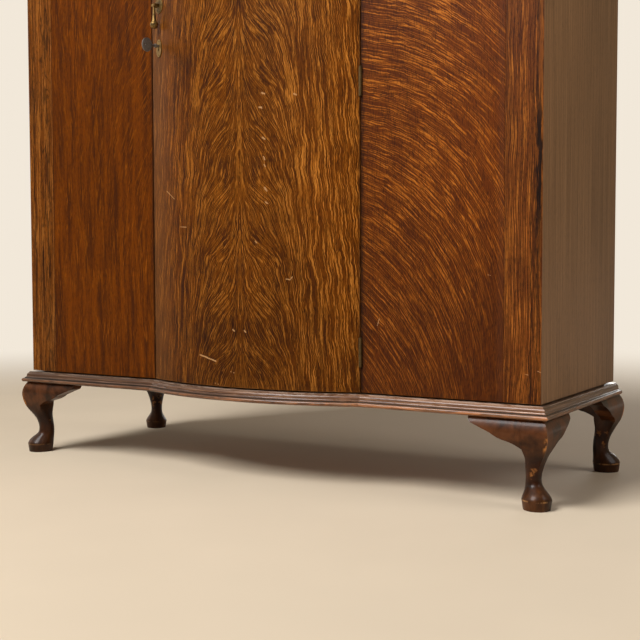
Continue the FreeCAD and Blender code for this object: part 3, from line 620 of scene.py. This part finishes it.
bothStiles = {
    "leans": (0,), "leanStep": 14.0, "thin": 0.09, "broken": 0.3, "bandWidth": 8.0,
    "swayNoise": (0.012, 0.0, 0.007), "patches": ((0.11, 0.0, 0.006), 2.0, 0.55),
    "grain": {"Blotch": 0.5, "Mottle": 0.7, "Pores": -0.4}, "warmHead": (420.0, 700.0), "warmShare": 0.5,
    "breakNoise": ((0.3, 0.0, 0.03), 3.0, 0.65), "swellNoise": ((0.02, 0.0, 0.018), 2.0, 0.6),
    "swell": 16.0, "streakSwell": (0.35, 0.65), "streakWidth": (0.3, 1.3), "streakEdge": (0.4, 1.0),
    "fadeIn": 40.0, "fadeOut": 70.0, "streakBreaks": (0.3, 0.5, 0.35, 1.0),
    "markNoise": (1.0, 2.0, 0.55, 0.7), "markLine": (0.01, 0.05), "markBreaks": (0.3, 0.46, 0.2, 1.0),
    "chainCore": 0.4, "shading": (("z", 190.0, 330.0, -0.1, 0.0),), "worn": (190, 146, 106),
    "wornShare": 0.6, "rubReach": 1.6, "grime": -0.08, "rubbed": (140, 92, 52), "rubShare": 0.3,
}


def makeStileOak(name):
    v = {**bothStiles, **stileOaks[name]}
    material, place, parts = startFinish(name)
    x, y, z = parts
    moved = swing(noiseOf(place, v["swayNoise"]), v["sway"], x)
    linePlace = joined(moved, y, z)
    figure = figureOf(linePlace, 0.0, v)
    colour = paintFigure(noiseOf(linePlace, *v["patches"]), figure, v)
    grain = grainOf(place, v)
    colour = shadeGrain(colour, grain, v["grain"])
    glow = times(fade(x, *v["warmEdge"]), fade(z, *v["warmHead"]))
    colour = mixColour(times(glow, v["warmShare"]), colour, v["light"])
    # dark streaks waver, swell and break along their run
    broken = noiseOf(place, *v["breakNoise"])
    swell = noiseOf(place, *v["swellNoise"])
    breaks = fade(broken, *v["streakBreaks"])
    for middle, half, foot, head, strength in v["streaks"]:
        thin, thick = (half * share for share in v["streakWidth"])
        gap = apart(x, swing(swell, v["swell"], middle))
        wide = fade(broken, *v["streakSwell"], thin, thick)
        line = fall(calc("DIVIDE", gap, wide), *v["streakEdge"])
        starts = fade(z, foot - v["fadeOut"], foot + v["fadeIn"])
        ends = fall(z, head - v["fadeIn"], head + v["fadeOut"])
        colour = shade(colour, times(line, starts, ends, breaks), -strength)
    # a chain of short dark marks down one side
    middle, reach, markWide, markLong, strength = v["chain"]
    markPlace = vectorMath("MULTIPLY", place, (1 / markWide, 0.0, 1 / markLong))
    marks = near(noiseOf(markPlace, *v["markNoise"]), 0.5, *v["markLine"])
    chain = times(marks, fade(broken, *v["markBreaks"]), near(x, middle, v["chainCore"] * reach, reach))
    colour = shade(colour, chain, -strength)
    # painted shade: darker towards the foot
    colour = shadeAlong(colour, parts, v["shading"])
    if "scratches" in v:
        colour = markWear(colour, parts, v)
    colour = rubEdges(colour, place, v)
    endOak(colour, grain, figure, figure, v)
    return material


# Plain oak in its several stains: one recipe, and what differs for each
plainOak = {
    "places": (0.28, 0.5, 0.72), "contrast": 1.0, "blotch": 0.45, "pores": -0.2, "shading": (),
    "rough": 0.66, "roughGain": -0.12, "relief": 0.3, "gloss": 0.25,
}
insideOak = {"tones": ((120, 82, 46), (150, 108, 66), (172, 128, 82)), "bandWidth": 6.0, "contrast": 0.8}
plainOaks = {
    "sideOak": {
        # the tones are the wood's own brown, greyed by a painted sheen
        "tones": ((119, 87, 56), (140, 104, 70), (155, 118, 82)), "bandWidth": 2.6, "contrast": 1.5,
        "pores": -0.16, "along": "z", "seed": 83.0, "rough": 0.56, "gloss": 0.16,
        # a painted shadow where the board stands just above the base, and darker towards the back
        "shading": (("z", 174.5, 178.5, -0.7, 0.0), ("y", -170.0, 230.0, 0.0, -0.2)),
        "boards": ("left_side", "right_side")},
    "topOak": {
        "tones": ((80, 50, 28), (98, 64, 36), (112, 76, 46)), "bandWidth": 4.0, "contrast": 0.9,
        "along": "x", "seed": 97.0, "rough": 0.56, "gloss": 0.3, "boards": ("top_panel",)},
    "insideUprightOak": {
        **insideOak, "along": "z", "seed": 103.0,
        "boards": ("hanging_post", "closing_post", "door_stop", "door_inner_skin", "door_hinge_stile",
                   "door_lock_stile", "leg_dowels")},
    "insideBoardOak": {
        **insideOak, "along": "x", "seed": 109.0,
        "boards": ("bottom_board", "top_board", "lower_linen_shelf", "middle_linen_shelf",
                   "upper_linen_shelf", "door_bottom_rail", "door_middle_rail", "door_top_rail")},
    "bearerOak": {
        "tones": ((116, 80, 46), (146, 104, 64), (168, 124, 80)), "bandWidth": 5.0, "pores": -0.18,
        "along": "y", "seed": 127.0, "boards": ("left_shelf_bearers", "right_shelf_bearers")},
    "muntinOak": {
        "tones": ((96, 66, 40), (126, 90, 57), (146, 108, 72)), "bandWidth": 5.0, "along": "z",
        "seed": 139.0, "rough": 0.7, "boards": ("back_left_muntin", "back_right_muntin")},
    "backOak": {
        "tones": ((84, 54, 30), (110, 74, 44), (130, 92, 58)), "bandWidth": 9.0, "contrast": 1.1,
        "along": "z", "seed": 131.0, "rough": 0.74,
        "boards": ("back_left_panel", "back_centre_panel", "back_right_panel")},
}


def makePlainOak(name):
    v = {**plainOak, **plainOaks[name]}
    material, place, parts = startFinish(name)
    grain = grainOf(turnGrain(parts, v["along"]), v)
    stops = list(zip(v["places"], v["tones"]))
    colour = colourRamp(swing(grain["Bands"], v["contrast"], 0.5), stops)
    colour = shadeGrain(colour, grain, {"Blotch": v["blotch"], "Pores": v["pores"]})
    colour = shadeAlong(colour, parts, v["shading"])
    endOak(colour, grain, grain["Bands"], grain["Bands"], v)
    return material


mouldStain = {
    "ground": ((0.3, (74, 44, 24)), (0.5, (106, 68, 42)), (0.72, (126, 84, 54))),
    "dark": (40, 22, 11), "light": (146, 104, 74), "crown": (184, 144, 114),
    "leans": (0,), "leanStep": 14.0, "spacing": 1.9, "length": 120.0, "thin": 0.09, "broken": 0.5,
    "seed": 17.0, "bandWidth": 3.4, "blotch": 0.6, "flatTop": (0.75, 0.9),
    "unevenNoise": ((0.2, 0.2, 0.03), 3.0, 0.6), "baseFoot": 153.0, "baseHigh": 21.5,
    "corniceHead": 1319.5, "corniceHigh": 24.0, "copper": (190, 122, 74), "copperShare": 0.65,
    "bead": (0.2, 0.02, 0.16), "beadWearAndHighlight": (0.42, 0.62),
    "fillet": (208, 184, 166), "filletShare": 0.55, "filletEdge": (0.9, 0.95), "filletWearAndHighlight": (0.4, 0.56),
    "quirk": (26, 14, 6), "quirkShare": 0.85, "quirkLine": (0.4, 0.03, 0.08),
    "shading": (("x", -420.0, 420.0, -0.6, 0.0), ("x", 120.0, 560.0, 0.0, 0.2)),
    "paintedShade": (58, 35, 8), "rough": 0.32, "roughGain": 0.2, "poreDepth": -0.5, "relief": 0.3,
    "coat": 0.32, "coatRoughness": 0.2, "bump": 0.3,
}


def makeMouldOak(name, along, paintedShade):
    v = mouldStain
    material, place, parts = startFinish(name)
    x, y, z = parts
    turned = turnGrain(parts, along)
    grain = grainOf(turned, v)
    # the lines run along the moulding: up its face they are spread by height, on its top by depth
    depth, run = {"x": (y, x), "y": (x, y)}[along]
    facing = split(addNode("ShaderNodeNewGeometry").outputs["Normal"])
    upward = fade(calc("ABSOLUTE", facing[2]), *v["flatTop"])
    across = calc("MULTIPLY_ADD", upward, calc("SUBTRACT", depth, z), z)
    lines = figureOf(joined(across, 0.0, run), 0.0, v)
    colour = paintFigure(grain["Bands"], lines, v)
    colour = shadeGrain(colour, grain, {"Blotch": v["blotch"]})
    # height up the profile, from the bead to the top fillet, the same on the cornice upside down
    base = calc("DIVIDE", apart(z, v["baseFoot"]), v["baseHigh"])
    cornice = calc("DIVIDE", apart(v["corniceHead"], z), v["corniceHigh"])
    level = calc("MINIMUM", base, cornice)
    uneven = noiseOf(turned, *v["unevenNoise"])
    # the bead lightened to copper: wear, and a painted highlight on its rounded face
    worn = times(near(level, *v["bead"]), fade(uneven, *v["beadWearAndHighlight"]), v["copperShare"])
    colour = mixColour(worn, colour, v["copper"])
    # the top fillet paler: wear, and a painted highlight
    fillet = times(fade(level, *v["filletEdge"]), fade(uneven, *v["filletWearAndHighlight"]), v["filletShare"])
    colour = mixColour(fillet, colour, v["fillet"])
    # painted shade: a dark line in the quirk
    dirtAndShade = times(near(level, *v["quirkLine"]), v["quirkShare"])
    colour = mixColour(dirtAndShade, colour, v["quirk"])
    # painted shade: darker towards the left, where the moulding stands in shade; painted light: lighter
    # towards the right
    colour = shadeAlong(colour, parts, v["shading"])
    # painted shade: the side mouldings, turned away from the light, are darkened and dulled
    colour = mixColour(paintedShade, colour, v["paintedShade"])
    endOak(colour, grain, uneven, grain["Bands"], v)
    return material


legStain = {
    "tones": ((0.34, (34, 15, 1)), (0.52, (62, 33, 11)), (0.7, (94, 55, 25))),
    "seed": 29.0, "bandWidth": 7.0, "bandLength": 160.0, "cloudNoise": (0.028, 3.0, 0.55, 0.4),
    "cloudShare": 0.75, "bandShare": 0.25, "patchNoise": (0.06, 3.0, 0.6),
    "corner": 580.0, "front": -177.7, "rear": 230.3, "knee": 114.0, "ankle": 64.0, "padLine": 16.6,
    "red": (104, 58, 28), "redReach": (96.0, 128.0, 0.0, 0.45), "redClouds": (0.38, 0.6),
    "ankleTone": (196, 164, 84), "ankleReach": (8.0, 42.0),
    "shading": (("x", -600.0, 0.0, -0.2, 0.0),),
    "rubbed": (192, 126, 62), "rubShare": 0.85, "arris": (1.5, 6.5), "arrisStart": (5.0, 9.0),
    "kneeReach": (5.0, 17.0, 1.0, 0.1), "kneePatches": (0.36, 0.52),
    "spotReach": (10.0, 26.0), "spotPatches": (0.56, 0.66), "spotShare": 0.55,
    "rim": (172, 126, 78), "rimLine": (0.4, 1.9), "rimPatches": (0.42, 0.56),
    "rimSide": (-500.0, 500.0, 0.2, 0.8),
    "rough": 0.3, "roughGain": 0.25, "poreDepth": -0.4, "relief": 0.4,
    "gloss": 0.16, "coat": 0.14, "coatRoughness": 0.14, "bump": 0.25,
}


def makeLegOak():
    v = legStain
    material, place, parts = startFinish("legOak")
    x, y, z = parts
    grain = grainOf(place, v)
    cloud = noiseOf(place, *v["cloudNoise"])
    patch = noiseOf(place, *v["patchNoise"])
    tone = calc("ADD", times(cloud, v["cloudShare"]), times(grain["Bands"], v["bandShare"]))
    colour = colourRamp(tone, v["tones"])
    # ears and the knee are redder, the ankle is darker
    red = times(fade(z, *v["redReach"]), fade(cloud, *v["redClouds"]))
    colour = mixColour(red, colour, v["red"])
    ankle = apart(z, v["ankle"])
    colour = mixColour(fall(ankle, *v["ankleReach"]), colour, v["ankleTone"], "MULTIPLY")
    colour = shadeAlong(colour, parts, v["shading"])
    # how far a place stands out from the carcass, to the side and to the front or back
    outSide = calc("SUBTRACT", calc("ABSOLUTE", x), v["corner"])
    outFront = calc("MAXIMUM", calc("SUBTRACT", v["front"], y), calc("SUBTRACT", y, v["rear"]))
    # rubbed through on the knee's arris, on the ankle and round the rim of the pad
    arris = times(near(outSide, outFront, *v["arris"]), fade(outSide, *v["arrisStart"]),
                  near(z, v["knee"], *v["kneeReach"]), fade(patch, *v["kneePatches"]))
    spot = times(fall(ankle, *v["spotReach"]), fade(patch, *v["spotPatches"]), v["spotShare"])
    worn = calc("MAXIMUM", arris, spot)
    colour = mixColour(times(worn, v["rubShare"]), colour, v["rubbed"])
    rim = times(near(z, v["padLine"], *v["rimLine"]), fade(patch, *v["rimPatches"]),
                fade(x, *v["rimSide"]))
    colour = mixColour(rim, colour, v["rim"])
    endOak(colour, grain, cloud, cloud, v)
    return material


metals = {
    "hingeBrass": {
        "clean": (106, 85, 52), "dull": (46, 35, 20), "dirtAndShade": (20, 14, 8), "rough": 0.4,
        "pieces": ("hinge_frame_leaves", "hinge_door_leaves", "hinge_pins")},
    "agedBrass": {
        "clean": (150, 118, 66), "dull": (82, 64, 34), "dirtAndShade": (40, 34, 22), "rough": 0.32,
        "pieces": ("keyhole_escutcheon", "handle_rosette", "handle_drop", "handle_nut")},
    "dullSteel": {
        "clean": (128, 124, 118), "dull": (84, 80, 75), "dirtAndShade": (58, 42, 30), "rough": 0.4,
        "pieces": ("lock_case", "lock_bolt", "lock_key", "strike_plate", "hinge_frame_screws",
                   "hinge_door_screws")},
}
metalSurface = {
    "cloudNoise": (0.11, 4.0, 0.6), "speckNoise": (0.9, 3.0, 0.6), "dullAt": 0.36, "cleanAt": 0.62,
    "dirtSpecks": (0.55, 0.7), "dirtShare": 0.6, "brightEdge": (0.53, 0.62, 0.0, 0.6),
    "roughGain": 0.3, "metal": 0.85, "gloss": 0.5, "bump": 0.2,
}


def makeMetal(name):
    v = {**metalSurface, **metals[name]}
    material, place = startFinish(name)[:2]
    cloud = noiseOf(place, *v["cloudNoise"])
    speck = noiseOf(place, *v["speckNoise"])
    colour = colourRamp(cloud, ((v["dullAt"], v["dull"]), (v["cleanAt"], v["clean"])))
    dirtAndShade = times(fade(speck, *v["dirtSpecks"]), v["dirtShare"])
    colour = mixColour(dirtAndShade, colour, v["dirtAndShade"])
    sharp = addNode("ShaderNodeNewGeometry").outputs["Pointiness"]
    colour = mixColour(fade(sharp, *v["brightEdge"]), colour, v["clean"])
    rough = calc("MULTIPLY_ADD", speck, v["roughGain"], v["rough"])
    endFinish(colour, rough, speck, v)
    return material


# how much painted shade darkens and dulls the side mouldings
sidePaintedShade = 0.55
dress(makeDoorOak(), doorVeneer["board"])
dress(makeRightOak(), rightVeneer["board"])
dress(makeLeftOak(), leftVeneer["board"])
for name, values in stileOaks.items():
    dress(makeStileOak(name), values["board"])
for name, values in plainOaks.items():
    dress(makePlainOak(name), *values["boards"])
dress(makeMouldOak("mouldFrontOak", "x", 0.0), "base_front_moulding", "cornice_front_moulding",
      "base_back_rail", "cornice_back_rail")
dress(makeMouldOak("mouldShadedSideOak", "y", sidePaintedShade), "base_left_moulding", "base_right_moulding",
      "cornice_left_moulding", "cornice_right_moulding")
legOak = makeLegOak()
for corner in ("front_left", "front_right", "rear_left", "rear_right"):
    dress(legOak, corner + "_leg", corner + "_knee_blocks")
metal = {name: makeMetal(name) for name in metals}
for name, values in metals.items():
    dress(metal[name], *values["pieces"])
print("linen press: finishes ready")


# Pins that repeat: panel pins along the back, and the two that hold the keyhole plate

pinHead = {"sides": 12, "shoulder": 0.72, "crown": 0.3, "crownHigh": 0.35, "sizes": (0.88, 1.1)}


def makePinTree():
    tree = bpy.data.node_groups.new("pinHeads", "GeometryNodeTree")
    startTree(tree)
    for name, kind in (("Path", "Geometry"), ("Spacing", "Float"), ("Head Radius", "Float"),
                       ("Head Height", "Float"), ("Facing", "Vector"), ("Seed", "Int"),
                       ("Finish", "Material")):
        tree.interface.new_socket(name, in_out="INPUT", socket_type="NodeSocket" + kind)
    tree.interface.new_socket("Pins", in_out="OUTPUT", socket_type="NodeSocketGeometry")
    given = addNode("NodeGroupInput").outputs
    path = addNode("GeometryNodeMeshToCurve", {"Mesh": given["Path"]}).outputs[0]
    stops = addNode("GeometryNodeResampleCurve", {"Curve": path, "Length": given["Spacing"]},
                    mode="LENGTH")
    wide, high = given["Head Radius"], given["Head Height"]

    def cone(bottom, top, depth):
        return addNode("GeometryNodeMeshCone", {
            "Vertices": pinHead["sides"], "Radius Top": top, "Radius Bottom": bottom, "Depth": depth})

    # a flat head with a bevelled rim and a low crown
    shoulder = times(wide, pinHead["shoulder"])
    rim = cone(wide, shoulder, high)
    crown = cone(shoulder, times(wide, pinHead["crown"]), times(high, pinHead["crownHigh"]))
    raised = addNode("GeometryNodeTransform", {
        "Geometry": crown.outputs[0], "Translation": joined(0.0, 0.0, high)})
    head = addNode("GeometryNodeJoinGeometry")
    for shape in (rim, raised):
        link(shape.outputs[0], head.inputs[0])
    turn = addNode("FunctionNodeAlignRotationToVector", {"Vector": given["Facing"]}, axis="Z")
    smallest, largest = pinHead["sizes"]
    size = addNode("FunctionNodeRandomValue", {2: smallest, 3: largest, "Seed": given["Seed"]},
                   data_type="FLOAT")
    placed = addNode("GeometryNodeInstanceOnPoints", {
        "Points": stops.outputs[0], "Instance": head.outputs[0], "Rotation": turn.outputs[0],
        "Scale": size.outputs[1]})
    real = addNode("GeometryNodeRealizeInstances", {"Geometry": placed.outputs[0]})
    finished = addNode("GeometryNodeSetMaterial", {
        "Geometry": real.outputs[0], "Material": given["Finish"]})
    addNode("NodeGroupOutput", {"Pins": finished.outputs[0]})
    return tree


def makePins(name, lines, facing, v, finish, body):
    path = bpy.data.meshes.new(name + "Path")
    path.from_pydata(sum(lines, []), [(2 * n, 2 * n + 1) for n in range(len(lines))], [])
    piece = bpy.data.objects.new(name, path)
    bpy.context.scene.collection.objects.link(piece)
    modifier = piece.modifiers.new("pinHeads", "NODES")
    modifier.node_group = pinTree
    chosen = {"Spacing": v["spacing"], "Head Radius": v["headRadius"],
              "Head Height": v["headHeight"], "Facing": facing, "Seed": v["seed"],
              "Finish": finish}
    for socket in pinTree.interface.items_tree:
        if socket.name in chosen:
            modifier[socket.identifier] = chosen[socket.name]
    evaluated = piece.evaluated_get(bpy.context.evaluated_depsgraph_get())
    plainMesh = bpy.data.meshes.new_from_object(evaluated)
    piece.modifiers.clear()
    piece.data = plainMesh
    bpy.data.meshes.remove(path)
    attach(piece, body)


pinTree = makePinTree()
backPins = {
    "spacing": 0.085, "headRadius": 0.0024, "headHeight": 0.0009, "seed": 4, "inset": 0.03,
    "behind": ("bottom_board", "lower_linen_shelf", "middle_linen_shelf", "upper_linen_shelf",
               "top_board"),
}
backRows = []
for panel in plainOaks["backOak"]["boards"]:
    panelLow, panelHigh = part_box(panel)
    for board in backPins["behind"]:
        boardLow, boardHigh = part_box(board)
        rowHigh = (boardLow[2] + boardHigh[2]) / 2
        backRows.append([(panelLow[0] + backPins["inset"], panelHigh[1], rowHigh),
                         (panelHigh[0] - backPins["inset"], panelHigh[1], rowHigh)])
makePins("backPanelPins", backRows, (0.0, 1.0, 0.0), backPins, metal["dullSteel"], "carcass")

platePins = {"spacing": 0.02, "headRadius": 0.0013, "headHeight": 0.0007, "seed": 9, "inset": 0.0035,
             "facing": (-0.357, -0.934, 0.0), "castFrom": 0.05}


def makePlatePins():
    low, high = (Vector(corner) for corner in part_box("keyhole_escutcheon"))
    facing = Vector(platePins["facing"]).normalized()
    surface = BVHTree.FromObject(nodes["keyhole_escutcheon"], bpy.context.evaluated_depsgraph_get())
    ends = []
    for height in (low.z + platePins["inset"], high.z - platePins["inset"]):
        middle = Vector(((low.x + high.x) / 2, (low.y + high.y) / 2, height))
        start = middle + facing * platePins["castFrom"]
        ends.append(tuple(surface.ray_cast(start, -facing)[0]))
    makePins("keyholePlatePins", [ends], facing, platePins, metal["agedBrass"], "door")


makePlatePins()
print("linen press: pins in place")


# Floor, light and camera. A lamp has its place, size and power.

studio = {
    "floor": (215, 199, 175), "floorSize": 14.0, "floorEdge": (1300.0, 3200.0), "floorRough": 0.85,
    "gloss": 0.2, "bump": 0.02, "floorCloud": 0.004, "floorTone": 0.08,
    "background": (242, 232, 217), "glow": (255, 208, 150), "ambient": 0.08,
    "shade": (150, 136, 114), "shadeEdge": (-0.72, -0.2),
    "room": (70, 64, 58), "roomEdge": (-0.75, 0.1), "aim": (0.0, 0.0, 0.6),
    "window": ((-4.6, -0.7, 1.9), 1.8, 12.0), "ceiling": ((-1.0, -2.9, 3.7), 2.2, 246.0),
    "fill": ((3.3, 0.2, 2.9), 2.0, 38.0), "rear": ((-0.3, 4.6, 1.0), 1.6, 44.0),
}


def seenDirectly():
    # 1 where a place is seen by the camera, in a mirror finish or through glass
    path = addNode("ShaderNodeLightPath").outputs
    return calc("MAXIMUM", path["Is Camera Ray"],
                calc("MAXIMUM", path["Is Glossy Ray"], path["Is Transmission Ray"]))


def makeFloor():
    half = studio["floorSize"] / 2
    mesh = bpy.data.meshes.new("studioFloor")
    mesh.from_pydata([(-half, -half, 0), (half, -half, 0), (half, half, 0), (-half, half, 0)], [],
                     [(0, 1, 2, 3)])
    floor = bpy.data.objects.new("studioFloor", mesh)
    bpy.context.scene.collection.objects.link(floor)
    material, place, parts = startFinish("paleFloor")
    cloud = noiseOf(place, studio["floorCloud"])
    colour = shade(studio["floor"], calc("SUBTRACT", cloud, 0.5), studio["floorTone"])
    ground, output = endFinish(colour, studio["floorRough"], cloud, studio)
    # far from the press the floor runs out into the colour of the background
    away = fade(vectorMath("LENGTH", place), *studio["floorEdge"])
    glow = addNode("ShaderNodeEmission", {"Color": linear(studio["background"])})
    blend = addNode("ShaderNodeMixShader", {
        0: times(away, seenDirectly()), 1: ground.outputs[0], 2: glow.outputs[0]})
    link(blend.outputs[0], output.inputs["Surface"])
    mesh.materials.append(material)


def makeWorld():
    world = bpy.data.worlds.new("studioWorld")
    bpy.context.scene.world = world
    world.use_nodes = True
    startTree(world.node_tree)
    parts = split(addNode("ShaderNodeTexCoord").outputs["Generated"])
    byCamera = addNode("ShaderNodeLightPath").outputs["Is Camera Ray"]
    # what the finishes mirror: a dark room in front, shading to the right behind
    mirrored = mixColour(fade(parts[0], *studio["shadeEdge"]), studio["background"], studio["shade"])
    mirrored = mixColour(fade(parts[1], *studio["roomEdge"]), studio["room"], mirrored)
    seen = mixColour(byCamera, mirrored, studio["background"])
    direct = seenDirectly()
    strength = calc("MULTIPLY_ADD", direct, 1.0 - studio["ambient"], studio["ambient"])
    tint = mixColour(direct, studio["glow"], seen)
    ground = addNode("ShaderNodeBackground", {"Color": tint, "Strength": strength})
    addNode("ShaderNodeOutputWorld", {"Surface": ground.outputs[0]})


def makeLamp(name, place, size, power):
    lamp = bpy.data.lights.new(name, "AREA")
    lamp.shape = "SQUARE"
    lamp.size = size
    lamp.energy = power
    holder = bpy.data.objects.new(name, lamp)
    holder.location = place
    holder.visible_camera = False
    aim = Vector(studio["aim"]) - Vector(place)
    holder.rotation_euler = aim.to_track_quat("-Z", "Y").to_euler()
    bpy.context.scene.collection.objects.link(holder)


photoCamera = {
    "place": (1.216364, -1.917998, 0.421701), "yaw": 30.177, "pitch": 3.177, "roll": -0.057,
    "lens": 62.392, "sensor": 36.0, "shift": (-0.0385, -0.00176), "reach": 100.0,
}


def makeCamera():
    v = photoCamera
    yaw, pitch, roll = (math.radians(v[key]) for key in ("yaw", "pitch", "roll"))
    up = Vector((0, 0, 1))
    ahead = Vector((-math.sin(yaw), math.cos(yaw), 0))
    right = Vector((math.cos(yaw), math.sin(yaw), 0))
    view = ahead * math.cos(pitch) - up * math.sin(pitch)
    head = up * math.cos(pitch) + ahead * math.sin(pitch)
    rightSide = right * math.cos(roll) + head * math.sin(roll)
    topSide = head * math.cos(roll) - right * math.sin(roll)
    camera = bpy.data.cameras.new("photoCamera")
    camera.sensor_width = v["sensor"]
    camera.lens = v["lens"]
    camera.shift_x, camera.shift_y = v["shift"]
    camera.clip_end = v["reach"]
    holder = bpy.data.objects.new("photoCamera", camera)
    turn = Matrix((rightSide, topSide, -view)).transposed().to_4x4()
    holder.matrix_world = Matrix.Translation(v["place"]) @ turn
    bpy.context.scene.collection.objects.link(holder)
    bpy.context.scene.camera = holder


makeFloor()
makeWorld()
for lampName in ("window", "ceiling", "fill", "rear"):
    makeLamp(lampName + "Light", *studio[lampName])
makeCamera()
bpy.context.scene.view_settings.view_transform = "Standard"
print("linen press: floor, light and camera ready")
